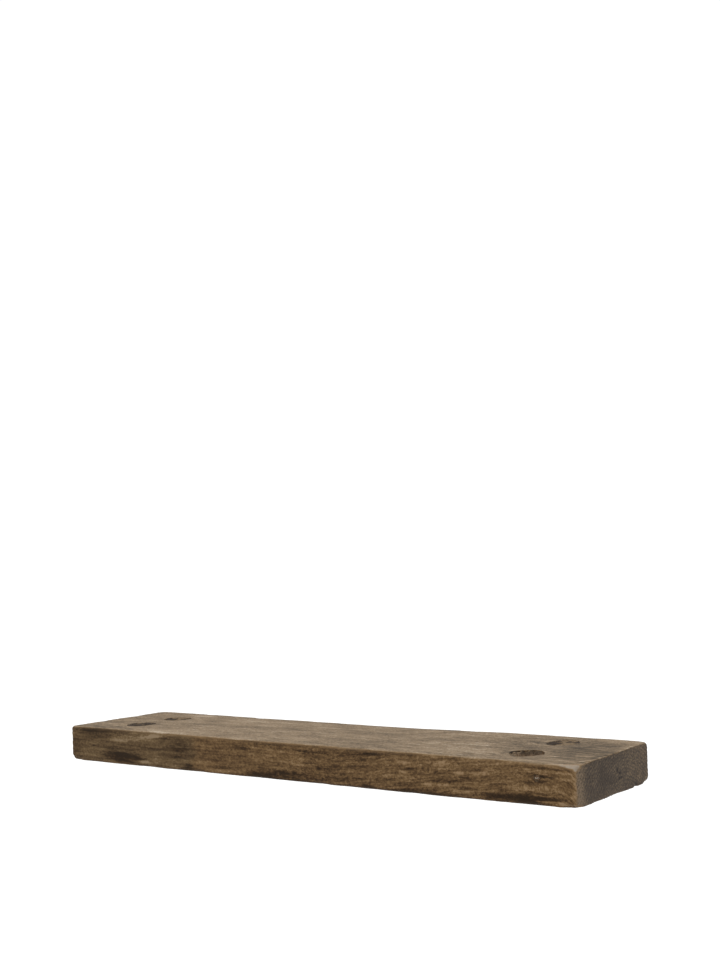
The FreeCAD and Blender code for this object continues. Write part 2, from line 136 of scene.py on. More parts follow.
# A bite out of the wood, in mm: its middle, its half sizes and its depth.
Chip = namedtuple("Chip", "along across up length width height depth")
CHIPS = table(
    Chip,
    (-118, -140, -18, 7, 3, 2.6, 0.9), (-188, -140, -18, 9, 3, 2.2, 0.7),
    (-40, -140, -18, 14, 3, 2.4, 0.7), (34, -140, -18, 9, 3, 2.6, 0.9),
    (142, -140, -18, 12, 3, 2, 0.6), (293, -140, -18, 6, 4, 3.2, 1.5),
    (-168, -140, 18, 7, 3, 2, 0.7), (-70, -140, 18, 10, 3, 2, 0.5), (64, -140, 18, 12, 3, 2, 0.6),
    (206, -140, 18, 9, 3, 2, 0.5), (262, -140, 18, 8, 4, 1.6, 0.5), (300, -28, -18, 3, 3.4, 3, 1.1),
    (300, -66, -18, 3, 14, 3, 0.6), (300, -104, -18, 3, 8, 2.4, 0.3), (300, -48, 18, 3, 3, 2, 0.7),
    (300, -84, 18, 3, 4, 2, 0.6), (-300, -96, 18, 3, 6, 2, 0.8), (-300, -44, 18, 3, 8, 2.2, 1),
    (-40, 0, -18, 11, 4, 3, 1.2), (120, 0, 18, 13, 3, 2.4, 0.9), (-150, 0, 18, 9, 3, 2.2, 0.8),
)

# A drying crack, in mm: where it starts, how far it runs along the plank, and its width and depth.
Crack = namedtuple("Crack", "face along across length width depth")
CRACKS = table(
    Crack,
    ("top", 300, -28, -34, 0.55, 2.4), ("top", 300, -52, -22, 0.45, 2),
    ("top", 300, -79, -46, 0.6, 2.6), ("top", 300, -121, -18, 0.4, 1.8),
    ("top", -300, -64, 40, 0.55, 2.4), ("top", -300, -30, 19, 0.4, 1.8),
    ("top", 196, -125.5, -13, 0.45, 1.6), ("top", 28, -41, -9, 0.4, 1.4),
    ("front", 259, 7.2, 24, 0.45, 1.8), ("front", -70, 9.6, 22, 0.4, 1.5),
    ("front", 84, 13.4, 28, 0.4, 1.4), ("front", -48, 14.6, 44, 0.45, 1.5),
    ("front", -158, 6.2, 30, 0.4, 1.4), ("bottom", 300, -44, -60, 0.6, 2.4),
    ("bottom", 300, -98, -38, 0.5, 2), ("bottom", -300, -84, 52, 0.6, 2.4),
    ("bottom", -300, -22, 26, 0.45, 1.8),
)

# Small branches that end just under the front edge and push its grain aside, in mm.
Branch = namedtuple("Branch", "along up radius")
BURIED_BRANCHES = table(
    Branch,
    (156, 4.5, 2.6), (181, 8.5, 2), (128, 7, 1.8), (271, -2.4, 3.4), (250, -3.4, 2.2),
    (264, 5.2, 2.2), (-150, 9.5, 1.8), (100, 10.5, 1.8),
)

# A knot: its node, the seed of its outline and cracks, how much longer its outline is along and
# across the plank than a circle, whether part of it has broken out, how far it has sunk below the
# top in mm, how dead its wood is, and the patches, about its middle, where it is more or less so.
Knot = namedtuple("Knot", "node seed longer broken sunk dead patches")
KNOTS = (
    Knot("knot_front_left", 11, (0.94, 1.20), False, 0.12, 0.60, table(
        Patch, (-2, -9, 9, 9, 0.7), (4, 7, 7, 7, 0.25), (-11, 4, 4, 6, -0.3))),
    Knot("knot_front_right", 12, (0.98, 1.20), True, 0.20, 0.25, table(
        Patch, (-8, 5, 2.5, 8, 0.65), (-13, -4, 3, 7, 0.3), (-4, -15, 10, 2, 0.6))),
    Knot("knot_back_left", 13, (1.00, 1.00), False, 0.05, 0.12, table(
        Patch, (-4, -5, 9, 8, 1.1), (10, 3, 5, 8, 0.85), (3, 4, 2, 9, -0.4))),
    Knot("knot_back_right", 14, (1.00, 1.15), False, 0.05, 0.12, table(
        Patch, (-9, -5, 4, 15, 1.1), (-3, -8, 3, 10, 0.9), (3, 6, 3, 5, 0.6), (11, 7, 4, 6, 0.95))),
)


def size(name, millimetres, description):
    """A length that a user can change."""
    return bpy.props.FloatProperty(
        name=name, description=description, default=millimetres * MM, min=0.0, precision=4,
        unit="LENGTH")


def amount(name, default, description):
    """A plain number that a user can change."""
    return bpy.props.FloatProperty(name=name, description=description, default=default, min=0.0)


def colour(name, default, description):
    """A colour that a user can change, as linear red, green and blue."""
    return bpy.props.FloatVectorProperty(
        name=name, description=description, default=default, min=0.0, max=1.0, size=3,
        subtype="COLOR")


def angle(name, degrees, description):
    """An angle that a user can change."""
    return bpy.props.FloatProperty(
        name=name, description=description, default=math.radians(degrees), subtype="ANGLE")


class TimberSettings(bpy.types.PropertyGroup):
    """Sizes and colours of the plank."""

    ring_width: size("Ring width", 3.1, "Distance from one growth ring to the next")
    ring_relief: size("Ring relief", 0.14, "How far the soft wood is worn below the hard wood")
    hewn_depth: size("Hewn depth", 0.45, "Depth of the slow hollows in the front edge")
    stock: size("Stock", 0.25, "Wood outside the sawn faces before it is worn")
    lift: size("Lift", 0.90, "How far the underside rises towards the right end")
    back_dip: size("Back dip", 1.0, "How far the top's back edge sinks at the left")
    back_rise: size("Back rise", 0.93, "How far the top's back edge rises at the right")
    front_dip: size("Front dip", 0.7, "How far the top's front edge sinks at the right end")
    left_arris: size("Left arris", 3.4, "Radius that the left end is worn to")
    right_arris: size("Right arris", 1.4, "Radius that the right end is worn to")
    corner_arris: size("Corner arris", 4.2, "Radius that the right end's corners are worn to")
    top_arris: size("Top arris", 2.0, "Radius of the long edges on top")
    bottom_arris: size("Bottom arris", 2.8, "Radius of the long edges below")
    back_left_corner: size("Back left corner", 12, "Radius of that corner, seen from above")
    front_left_corner: size("Front left corner", 3, "Radius of that corner, seen from above")
    right_corner: size("Right corners", 3, "Radius of both right corners, seen from above")
    recess_length: size("Recess length", 80, "Length of the recess for a wall plate")
    recess_height: size("Recess height", 25, "Height of the recess for a wall plate")
    recess_depth: size("Recess depth", 4.5, "Depth of the recess for a wall plate")
    recess_corner: size("Recess corner", 5, "Radius of the cutter that made the recess")
    bore_radius: size("Bore radius", 6.1, "Radius of the bore for a rod")
    bore_depth: size("Bore depth", 114, "Depth of the bore, from the back of the plank")
    weld_relief: size("Weld relief", 4.6, "Chamfer that leaves room for the weld")
    nick_depth: size("Nick depth", 0.5, "Depth of the small nicks along the edges")
    front_pale: colour("Front, pale", (0.195, 0.127, 0.068), "Palest wood of the front edge")
    front_light: colour("Front, light", (0.118, 0.0700, 0.0295), "Light wood of the front edge")
    front_colour: colour("Front", (0.078, 0.0440, 0.0182), "Waxed wood of the front edge")
    front_dark: colour("Front, dark", (0.035, 0.0180, 0.0066), "Dark wood of the front edge")
    top_pale: colour("Top, pale", (0.300, 0.248, 0.185), "Palest, dustiest wood of the top")
    top_colour: colour("Top", (0.157, 0.1118, 0.0678), "Dusty, bleached wood of the top")
    end_pale: colour("End grain, pale", (0.170, 0.122, 0.080), "Palest end grain")
    end_light: colour("End grain, light", (0.097, 0.0705, 0.0450), "Light brown end grain")
    end_colour: colour("End grain", (0.060, 0.0455, 0.0345), "Dark end grain")
    worn_colour: colour("Worn edge", (0.200, 0.128, 0.066), "Wood that hands have rubbed pale")
    bleached_colour: colour("Bleached corner", (0.240, 0.205, 0.165), "Wood that is worn bare")
    fresh_colour: colour("Routed wood", (0.420, 0.265, 0.135), "Unwaxed wood in the recesses")
    wax: amount("Wax", 0.10, "How strongly the waxed surface reflects")


class KnotSettings(bpy.types.PropertyGroup):
    """Sizes and colours of the dead knots."""

    gap: size("Gap", 0.05, "Dark gap between a knot and the wood round it")
    crack_depth: size("Crack depth", 2.2, "Depth of the cracks that run out from the middle")
    crack_width: size("Crack width", 0.45, "Half width of those cracks")
    loss_depth: size("Loss depth", 4.5, "Depth of the hollow where a knot has broken out")
    loss_shift: size("Loss shift", 3, "How far right of the knot's middle the hollow is")
    loss_length: size("Loss length", 12.6, "Half the hollow's length along the plank")
    loss_width: size("Loss width", 16.5, "Half the hollow's width across the plank")
    taper: amount("Taper", 0.64, "Radius of a knot at the bottom over its radius at the top")
    dark_colour: colour("Dead wood", (0.036, 0.027, 0.020), "Black-brown dead wood")
    brown_colour: colour("Brown wood", (0.082, 0.056, 0.033), "Brown, resinous wood of a knot")
    # Pale fresh wood, lightened further to paint light onto the hollow's shaded far wall.
    torn_wood_and_painted_light_colour: colour("Torn wood", (0.205, 0.140, 0.088), "Wood in the hollow of a broken knot")
    sound_colour: colour("Sound wood", (0.142, 0.101, 0.062), "Sound wood of a knot")
    # Near black: the knots' cracks, and the painted shadow at the broken knot's far rim and right
    # end.
    crack_and_painted_shadow_colour: colour("Cracks", (0.012, 0.010, 0.008), "Inside of a knot's cracks")
    wax: amount("Wax", 0.04, "How strongly a knot reflects")


class SteelSettings(bpy.types.PropertyGroup):
    """Sizes and colours of the plates, rods, welds, screws and nail."""

    plate_corner: size("Plate corner", 4, "Radius of a wall plate's corners")
    plate_arris: size("Plate arris", 0.45, "Radius of a wall plate's rolled edges")
    screw_hole: size("Screw hole", 2.75, "Radius of a screw hole in a wall plate")
    countersink: size("Countersink", 2.45, "Depth and added radius of a countersink")
    spigot: size("Spigot radius", 4, "Radius of the rod's spigot through the plate")
    rod_chamfer: size("Rod chamfer", 1.5, "Chamfer at a rod's tip")
    weld_leg: size("Weld leg", 3, "Size of the weld along the rod and along the plate")
    screw_neck: size("Screw neck", 2.3, "Radius of a screw under its head")
    screw_shank: size("Screw shank", 2.5, "Radius of a screw where it enters the wall")
    screw_core: size("Screw core", 1.6, "Radius at the bottom of the thread")
    screw_crest: size("Screw crest", 2.3, "Radius at the top of the thread")
    screw_pitch: size("Screw pitch", 3, "Distance from one turn of the thread to the next")
    zinc_colour: colour("Zinc", (0.46, 0.47, 0.49), "Bright zinc on plates and rods")
    weld_colour: colour("Weld", (0.20, 0.18, 0.16), "Weld bead")
    straw_colour: colour("Straw tint", (0.30, 0.20, 0.10), "Straw heat tint on a weld")
    blued_colour: colour("Blue tint", (0.14, 0.13, 0.20), "Blue heat tint on a weld")
    brass_colour: colour("Yellow zinc", (0.56, 0.42, 0.20), "Yellow zinc on the screws")
    green_colour: colour("Green zinc", (0.44, 0.40, 0.24), "Greenish clouds in the yellow zinc")
    rust_colour: colour("Rust", (0.066, 0.034, 0.012), "Rust on the nail")
    # Also the colour of the painted glint on the snapped nail.
    iron_and_painted_glint_colour: colour("Bare iron", (0.34, 0.292, 0.230), "Iron where the nail snapped")


class PlugSettings(bpy.types.PropertyGroup):
    """Sizes and colour of the wall plugs."""

    waist: size("Waist", 3.4, "Radius between the ribs")
    bore: size("Bore", 2.45, "Radius of the bore, before the screw opens it")
    collar: size("Collar", 5, "Length of the plain collar")
    rib_pitch: size("Rib pitch", 4, "Distance from one rib to the next")
    nose: size("Nose", 5, "Length of the tapered nose")
    slit_width: size("Slit width", 0.9, "Width of the slits that let the plug open")
    slit_start: size("Slit start", 10, "Distance from the collar's face to the slits")
    slit_length: size("Slit length", 26, "Length of the slits")
    nylon_colour: colour("Nylon", (0.30, 0.31, 0.32), "Moulded grey nylon")


class StudioSettings(bpy.types.PropertyGroup):
    """The camera, the floor and the light."""

    camera_place: bpy.props.FloatVectorProperty(
        name="Camera place", description="Where the camera stands", size=3,
        default=(0.82824, -1.15577, 0.20537), subtype="TRANSLATION", unit="LENGTH")
    yaw: angle("Yaw", 35.961, "How far the camera is turned left from the wall's normal")
    pitch: angle("Pitch", 2.561, "How far the camera looks up")
    roll: angle("Roll", -1.690, "How far the camera leans")
    lens: bpy.props.FloatProperty(
        name="Lens", description="Focal length in mm on a 36 mm sensor", default=51.710,
        unit="CAMERA")
    drop: size("Drop to the floor", 1700, "Height of the shelf over the floor")
    horizon_light: amount("Horizon light", 0.40, "Light from the studio at eye level")
    zenith_light: amount("Zenith light", 1.55, "Light from the studio overhead")
    backdrop_light: amount("Backdrop light", 1.05, "How bright the backdrop looks")
    key_light: amount("Key light", 22.0, "Power of the soft lamp in front, in watts")
    floor_colour: colour("Floor", (0.90, 0.90, 0.90), "Pale floor")


SETTINGS = {
    "shelf_timber": TimberSettings,
    "shelf_knots": KnotSettings,
    "shelf_steel": SteelSettings,
    "shelf_plugs": PlugSettings,
    "shelf_studio": StudioSettings,
}


# ---------------------------------------------------------------------------------- shapes


class Noise:
    """Seeded value noise on a wrapping lattice: smooth, and between -1 and 1."""

    SIDE = 48

    def __init__(self, seed):
        self.values = np.random.default_rng(seed).uniform(-1.0, 1.0, (self.SIDE,) * 3)

    def __call__(self, points, cell_mm):
        """The noise at each point, for lattice cells of one size, or of one along each axis."""
        cells = points / (np.array(cell_mm) * MM)
        base = np.floor(cells).astype(int)
        near = cells - base
        near = near * near * (3.0 - 2.0 * near)
        total = np.zeros(points.shape[:-1])
        for corner in np.ndindex(2, 2, 2):
            weight = np.prod(np.where(np.array(corner, bool), near, 1.0 - near), axis=-1)
            i, j, k = np.moveaxis((base + corner) % self.SIDE, -1, 0)
            total += weight * self.values[i, j, k]
        return total


def skin_noise(noise, place, angle, cell_mm):
    """Noise round a turned solid, from places along it and angles about it."""
    spots = np.stack(np.broadcast_arrays(np.cos(angle), place, np.sin(angle)), -1)
    return noise(spots * MM, cell_mm)


def ease(value, low, high):
    """Smooth step from 0 at low to 1 at high, which may be the smaller of the two."""
    t = np.clip((value - low) / (high - low), 0.0, 1.0)
    return t * t * (3.0 - 2.0 * t)


def bump(value, width):
    """A smooth hump, 1 at zero and almost nothing past twice the width."""
    return np.exp(-((value / width) ** 2))


def patched(along, across, patches, ragged):
    """The summed shade of soft patches at some places on a face, in mm."""
    total = np.zeros(np.shape(along))
    for patch in patches:
        x = (along - patch.along) / patch.length
        y = (across - patch.across) / patch.height
        total += patch.shade * np.exp(-(((x * x + y * y) * ragged) ** 1.4))
    return total


def box_shell(xs, ys, zs):
    """Points and quads of a closed box, with a line of points at every station."""
    outer = np.zeros((len(xs), len(ys), len(zs)), bool)
    outer[[0, -1]] = outer[:, [0, -1]] = outer[:, :, [0, -1]] = True
    number = np.full(outer.shape, -1)
    number[outer] = np.arange(outer.sum())
    i, j, k = np.nonzero(outer)
    quads = []
    for axis in range(3):
        for end in (0, number.shape[axis] - 1):
            sheet = np.take(number, end, axis)
            corners = (sheet[:-1, :-1], sheet[1:, :-1], sheet[1:, 1:], sheet[:-1, 1:])
            quads.append(np.stack(corners, -1).reshape(-1, 4))
    return np.column_stack([xs[i], ys[j], zs[k]]), np.vstack(quads).tolist()


def stations(low, high, rim, rim_cells, cells):
    """Lines from low to high, closer together within the rim at both ends."""
    near = rim * (np.arange(rim_cells) / rim_cells) ** 1.3
    middle = np.linspace(low + rim, high - rim, cells + 1)
    return np.concatenate([low + near, middle, (high - near)[::-1]])


def capped_rows(rows):
    """Points and faces of a closed solid from rows of points round it; its ends close on a point."""
    rows = np.array(rows)
    last = rows.shape[0] * rows.shape[1]
    points = np.vstack([rows.reshape(-1, 3), rows[0].mean(0), rows[-1].mean(0)])
    here = np.arange(last).reshape(rows.shape[:2])
    beside = np.roll(here, -1, axis=1)
    walls = np.stack([here[:-1], beside[:-1], beside[1:], here[1:]], -1).reshape(-1, 4)
    faces = walls.tolist()
    faces += [(a, b, last) for a, b in zip(beside[0].tolist(), here[0].tolist())]
    faces += [(a, b, last + 1) for a, b in zip(here[-1].tolist(), beside[-1].tolist())]
    return points, faces


def looped_rows(rows):
    """Points and faces of a ring: the rows close round it, and each row closes on itself."""
    here = np.arange(rows.shape[0] * rows.shape[1]).reshape(rows.shape[:2])
    ahead = np.roll(here, -1, axis=0)
    beside = np.roll(here, -1, axis=1)
    across = np.roll(ahead, -1, axis=1)
    return rows.reshape(-1, 3), np.stack([here, ahead, across, beside], -1).reshape(-1, 4).tolist()


def stacked(layers, middle, spin=0.0):
    """A closed solid from (y, outline) layers, all turned by the spin about middle (x, z)."""
    rows = []
    for y, outline in layers:
        x = middle[0] + outline[:, 0] * math.cos(spin) - outline[:, 1] * math.sin(spin)
        z = middle[1] + outline[:, 0] * math.sin(spin) + outline[:, 1] * math.cos(spin)
        rows.append(np.column_stack([x, np.full(len(x), y), z]))
    return capped_rows(rows)


def rounded_rectangle(length, height, corner, steps):
    """The outline of a rectangle with round corners, about its middle."""
    arc = np.linspace(0.0, math.pi / 2.0, steps + 1)
    outline = []
    for quarter, (x, y) in enumerate(((1, 1), (-1, 1), (-1, -1), (1, -1))):
        turn = arc + quarter * math.pi / 2.0
        centre = np.array([x * (length / 2.0 - corner), y * (height / 2.0 - corner)])
        outline.append(centre + corner * np.column_stack([np.cos(turn), np.sin(turn)]))
    return np.vstack(outline)


def dense(profile, step):
    """A profile of (place, radius) pairs with points at most a step apart."""
    profile = np.array(profile, float)
    parts = []
    for start, end in zip(profile[:-1], profile[1:]):
        cells = max(1, math.ceil(np.linalg.norm(end - start) / step))
        parts.append(start + (end - start) * (np.arange(cells) / cells)[:, None])
    return np.vstack(parts + [profile[-1:]])


def turned(profile, segments, middle, ripple=None):
    """A closed solid turned about a line along Y through middle (x, z); ripple adds to its radius."""
    place, radius = np.array(profile).T[:, :, None]
    angle = np.arange(segments) * TURN / segments
    if ripple:
        radius = radius + ripple(place, angle)
    x = middle[0] + radius * np.cos(angle)
    z = middle[1] + radius * np.sin(angle)
    return capped_rows(np.stack([x, np.broadcast_to(place, x.shape), z], -1))


def shade(mesh, sharp_angle):
    """Smooth shading, but for edges sharper than the angle."""
    mesh.shade_smooth()
    mesh.set_sharp_from_angle(angle=math.radians(sharp_angle))


def solid(name, shape, sharp_angle=40.0):
    """A mesh object with outward faces, from its points and faces."""
    points, faces = shape
    mesh = bpy.data.meshes.new(name)
    mesh.from_pydata(points.tolist(), [], faces)
    work = bmesh.new()
    work.from_mesh(mesh)
    bmesh.ops.recalc_face_normals(work, faces=work.faces)
    work.to_mesh(mesh)
    work.free()
    shade(mesh, sharp_angle)
    piece = bpy.data.objects.new(name, mesh)
    bpy.context.collection.objects.link(piece)
    return piece


def cut_away(piece, cutters, sharp_angle=40.0):
    """Cuts the cutters out of the piece and throws them away; each time, something has to go."""
    cutters = list(cutters)
    tools = bpy.data.collections.new("Cutters")
    bpy.context.scene.collection.children.link(tools)
    for cutter in cutters:
        bpy.context.collection.objects.unlink(cutter)
        tools.objects.link(cutter)
    cut = piece.modifiers.new("Cut", "BOOLEAN")
    cut.operation = "DIFFERENCE"
    cut.solver = "MANIFOLD"
    cut.operand_type = "COLLECTION"
    cut.collection = tools
    graph = bpy.context.evaluated_depsgraph_get()
    mesh = bpy.data.meshes.new_from_object(piece.evaluated_get(graph))
    before = piece.data
    if len(mesh.polygons) == len(before.polygons):
        raise RuntimeError(f"nothing was cut out of {piece.name}")
    piece.modifiers.clear()
    piece.data = mesh
    bpy.data.meshes.remove(before)
    mesh.name = piece.name
    mesh.materials.clear()
    shade(mesh, sharp_angle)
    for cutter in cutters:
        bpy.data.meshes.remove(cutter.data)
    bpy.data.collections.remove(tools)


def points_of(mesh):
    """The mesh's points as an array."""
    flat = np.empty(len(mesh.vertices) * 3)
    mesh.vertices.foreach_get("co", flat)
    return flat.reshape(-1, 3)


def write_attribute(mesh, name, values):
    """Keeps a number or a vector for each point, for the material to read."""
    kind, field = ("FLOAT", "value") if values.ndim == 1 else ("FLOAT_VECTOR", "vector")
    mesh.attributes.new(name, kind, "POINT").data.foreach_set(field, values.ravel())


def corners_of(node):
    """Lowest and highest corner of a frame node, as arrays."""
    return tuple(np.array(corner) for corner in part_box(node))


def middle_of(node):
    """The middle of a frame node along the plank and up."""
    low, high = corners_of(node)
    return (low + high)[[0, 2]] / 2.0


def span_of(node):
    """Where a frame node begins and ends in depth, towards the wall."""
    low, high = corners_of(node)
    return low[1], high[1]


def radius_of(node):
    """Half the size of a frame node along the plank."""
    low, high = corners_of(node)
    return (high[0] - low[0]) / 2.0


def put_in_place(piece, node, body, slot, *materials):
    """Gives a piece its materials, hides the frame's node in its place, and has it ride its body."""
    for material in materials:
        piece.data.materials.append(material)
    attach(piece, body)
    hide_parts(node)


# ---------------------------------------------------------------------------------- finishes


class Recipe:
    """A material or a world in the making: each call adds a node and gives back its output."""

    def __init__(self, name, shader="Principled BSDF", library="materials"):
        self.made = getattr(bpy.data, library).new(name)
        self.made.use_nodes = True
        self.tree = self.made.node_tree
        self.shader = self.tree.nodes[shader]

    def feed(self, socket, value):
        """Links an output to a socket, or sets the socket to a plain value."""
        if isinstance(value, bpy.types.NodeSocket):
            self.tree.links.new(value, socket)
        elif socket.type == "RGBA":
            socket.default_value = (*value, 1.0)
        else:
            socket.default_value = value

    def add(self, kind, inputs, output=0, **settings):
        node = self.tree.nodes.new(kind)
        for name, value in settings.items():
            setattr(node, name, value)
        for socket, value in inputs.items():
            self.feed(node.inputs[socket], value)
        return node.outputs[output]

    def finish(self, **inputs):
        """Feeds the shader's own sockets; an underscore stands for a space."""
        for socket, value in inputs.items():
            self.feed(self.shader.inputs[socket.replace("_", " ")], value)
        return self.made

    def attribute(self, name, output="Fac"):
        return self.add("ShaderNodeAttribute", {}, output, attribute_name=name)

    def coordinates(self, kind="Object"):
        return self.add("ShaderNodeTexCoord", {}, kind)

    def split(self, vector):
        return tuple(self.add("ShaderNodeSeparateXYZ", {0: vector}).node.outputs)

    def math(self, operation, *values, clamp=False):
        inputs = dict(enumerate(values))
        return self.add("ShaderNodeMath", inputs, operation=operation, use_clamp=clamp)

    def plus(self, *terms):
        """The sum of outputs and numbers."""
        total = terms[0]
        for term in terms[1:]:
            total = self.math("ADD", total, term)
        return total

    def times(self, value, factor, clamp=False):
        return self.math("MULTIPLY", value, factor, clamp=clamp)

    def size_of(self, value):
        return self.math("ABSOLUTE", value)

    def swing(self, value, reach):
        """A 0 to 1 value as a swing of half the reach to each side of zero."""
        return self.math("MULTIPLY_ADD", value, reach, -reach / 2.0)

    def noise(self, vector, waves, detail=3.0, roughness=0.55, distortion=0.0):
        """Noise with so many waves to the metre along each axis."""
        inputs = {0: vector, 1: waves if isinstance(waves, tuple) else (waves,) * 3}
        place = self.add("ShaderNodeVectorMath", inputs, operation="MULTIPLY")
        inputs = {"Vector": place, "Scale": 1.0, "Detail": detail}
        inputs.update({"Roughness": roughness, "Distortion": distortion})
        return self.add("ShaderNodeTexNoise", inputs, "Fac")

    def smooth(self, value, low, high, to_low=0.0, to_high=1.0):
        inputs = {"Value": value, 1: low, 2: high, 3: to_low, 4: to_high}
        return self.add("ShaderNodeMapRange", inputs, interpolation_type="SMOOTHSTEP")

    def mix(self, factor, first, second, blend="MIX"):
        inputs = {0: factor, 6: first, 7: second}
        return self.add("ShaderNodeMix", inputs, 2, data_type="RGBA", blend_type=blend)

    def ramp(self, value, stops):
        """A colour for each value, from (place, colour) stops."""
        node = self.add("ShaderNodeValToRGB", {0: value}).node
        bar = node.color_ramp
        while len(bar.elements) < len(stops):
            bar.elements.new(1.0)
        for element, (place, tint) in zip(bar.elements, stops):
            element.position = place
            element.color = (*tint, 1.0)
        return node.outputs[0]

    def curve(self, value, *stops):
        """A number for each value, from (place, number) stops."""
        return self.ramp(value, [(place, (level,) * 3) for place, level in stops])

    def relief(self, height, depth_mm, strength):
        inputs = {"Height": height, "Distance": depth_mm * MM, "Strength": strength}
        return self.add("ShaderNodeBump", inputs)


def tones(base, *pairs):
    """Colour stops: each pair is a place and how many times the base colour it has."""
    return [(place, tuple(min(1.0, level * part) for part in base)) for place, level in pairs]


def late_wood(r, rings):
    """How much of a growth ring is late wood, which swells slowly and ends at once."""
    phase = r.math("FRACT", rings)
    return r.curve(phase, (0.0, 0.0), (0.35, 0.10), (0.82, 0.95), (0.93, 0.8), (1.0, 0.0))


def aged_pine(timber):
    """Old waxed pine: brown on the front, bleached on top, dark at the ends, pale on worn edges.

    Its grain runs along, across and up, so a noise has few waves along it and many beside it.
    """
    r = Recipe("Aged pine")
    grain = r.attribute("grain", "Vector")
    along = r.split(grain)[0]
    # This attribute holds stains, and painted shade along the front's lower edge.
    stain_and_painted_shade = r.attribute("stain_and_painted_shade")
    wear = r.attribute("wear")
    facing_x, _, facing_z = r.split(r.coordinates("Normal"))

    fibres = r.noise(grain, (60, 1100, 1100), 3, 0.6)
    threads = r.noise(grain, (24, 480, 480), 4, 0.66)
    streaks = r.noise(grain, (7, 170, 170), 5, 0.66, 0.5)
    lines = r.noise(grain, (34, 210, 210), 4, 0.66)
    blotches = r.noise(grain, (14, 40, 60), 4, 0.6, 0.4)
    clouds = r.noise(grain, (9, 24, 60))
    mottle = r.noise(grain, (75, 190, 190), 3, 0.6)
    specks = r.noise(grain, (400, 640, 640), 3, 0.8)
    dust = r.noise(grain, (520, 330, 520), 3, 0.8)
    zones = r.noise(grain, (7, 12, 48), 2, 0.5, 0.3)
    pores = r.noise(r.coordinates(), (60, 560, 560), 5, 0.75)
    winding = r.noise(grain, (10, 210, 210), 3, 0.5, 0.8)
    veins = r.smooth(r.size_of(r.plus(winding, -0.5)), 0.030, 0.0)
    veins = r.times(veins, r.smooth(blotches, 0.38, 0.58))
    jitter = r.swing(r.noise(grain, (16, 300, 300), 2), 0.6)
    late = late_wood(r, r.plus(r.math("DIVIDE", r.attribute("ring"), timber.ring_width), jitter))

    figure = r.smooth(along, 0.02, 0.20, 0.62, 1.05)
    front_shade = r.plus(
        0.485,
        r.swing(late, 0.12),
        r.times(r.swing(streaks, 0.90), figure),
        r.times(r.swing(threads, 1.00), figure),
        r.times(r.swing(mottle, 0.60), figure),
        r.times(r.swing(specks, 1.85), r.smooth(along, -0.16, 0.06, 0.74, 1.0)),
        r.swing(blotches, 0.45),
        r.times(r.swing(zones, 0.30), r.smooth(along, -0.12, 0.04, 1.7, 1.0)),
        r.smooth(along, 0.08, 0.18, 0.0, -0.05),
        r.times(veins, 0.25),
        r.times(stain_and_painted_shade, 0.56),
    )
    front_tones = [
        (0.0, timber.front_pale),
        (0.25, timber.front_light),
        (0.5, timber.front_colour),
        *tones(timber.front_dark, (0.75, 1.0), (1.0, 0.45)),
    ]
    front = r.ramp(front_shade, front_tones)
    grey_end = r.smooth(r.plus(along, r.swing(blotches, 0.02)), -0.116, -0.130)
    grey_end = r.times(grey_end, r.smooth(stain_and_painted_shade, 1.0, 0.4, 0.2, 1.0))
    grey = r.mix(grey_end, front, (0.84, 0.91, 1.0), "MULTIPLY")

    busy = r.smooth(along, 0.05, 0.26, 0.75, 1.20)
    dusty = r.smooth(along, 0.20, 0.27, 1.0, 0.65)
    top_shade = r.plus(
        0.45,
        r.times(r.swing(late, 0.10), busy),
        r.times(r.swing(lines, 1.30), busy),
        r.times(r.swing(threads, 0.95), busy),
        r.times(r.swing(dust, 1.55), dusty),
        r.swing(mottle, 0.45),
        r.swing(clouds, 0.80),
        r.times(stain_and_painted_shade, 0.45),
    )
    top_tones = tones(timber.top_colour, (0.3, 1.22), (0.45, 1.0), (0.7, 0.55), (1.0, 0.22))
    top = r.ramp(top_shade, [(0.0, timber.top_pale), *top_tones])

    end_shade = r.plus(
        0.5, r.swing(late, 0.17), r.swing(pores, 2.4), r.swing(blotches, 0.9), r.times(stain_and_painted_shade, 0.4)
    )
    end_tones = [(0.0, timber.end_pale), (0.28, timber.end_light)]
    end = r.ramp(end_shade, end_tones + tones(timber.end_colour, (0.5, 1.0), (1.0, 0.4)))

    on_top = r.smooth(r.plus(facing_z, r.swing(lines, 0.3)), 0.55, 0.93)
    at_end = r.smooth(r.plus(r.size_of(facing_x), r.swing(pores, 0.2)), 0.6, 0.9)
    base = r.mix(at_end, r.mix(on_top, grey, top), end)
    patchy = r.smooth(r.plus(streaks, r.swing(specks, 0.5)), 0.3, 0.62)
    rubbed = r.times(wear, patchy, clamp=True)
    bare = r.times(r.smooth(wear, 0.7, 1.3), r.plus(0.3, r.times(patchy, 0.7)))
    base = r.mix(r.times(rubbed, 0.85), base, timber.worn_colour)
    base = r.mix(r.times(bare, 0.85), base, timber.bleached_colour)

    roughness = r.plus(0.70, r.swing(fibres, 0.20), r.times(rubbed, 0.08))
    height = r.plus(r.times(fibres, 0.5), r.times(late, 0.3), r.times(threads, 0.6))
    return r.finish(
        Base_Color=base,
        Roughness=roughness,
        Specular_IOR_Level=timber.wax,
        Normal=r.relief(height, 0.30, 0.7),
    )


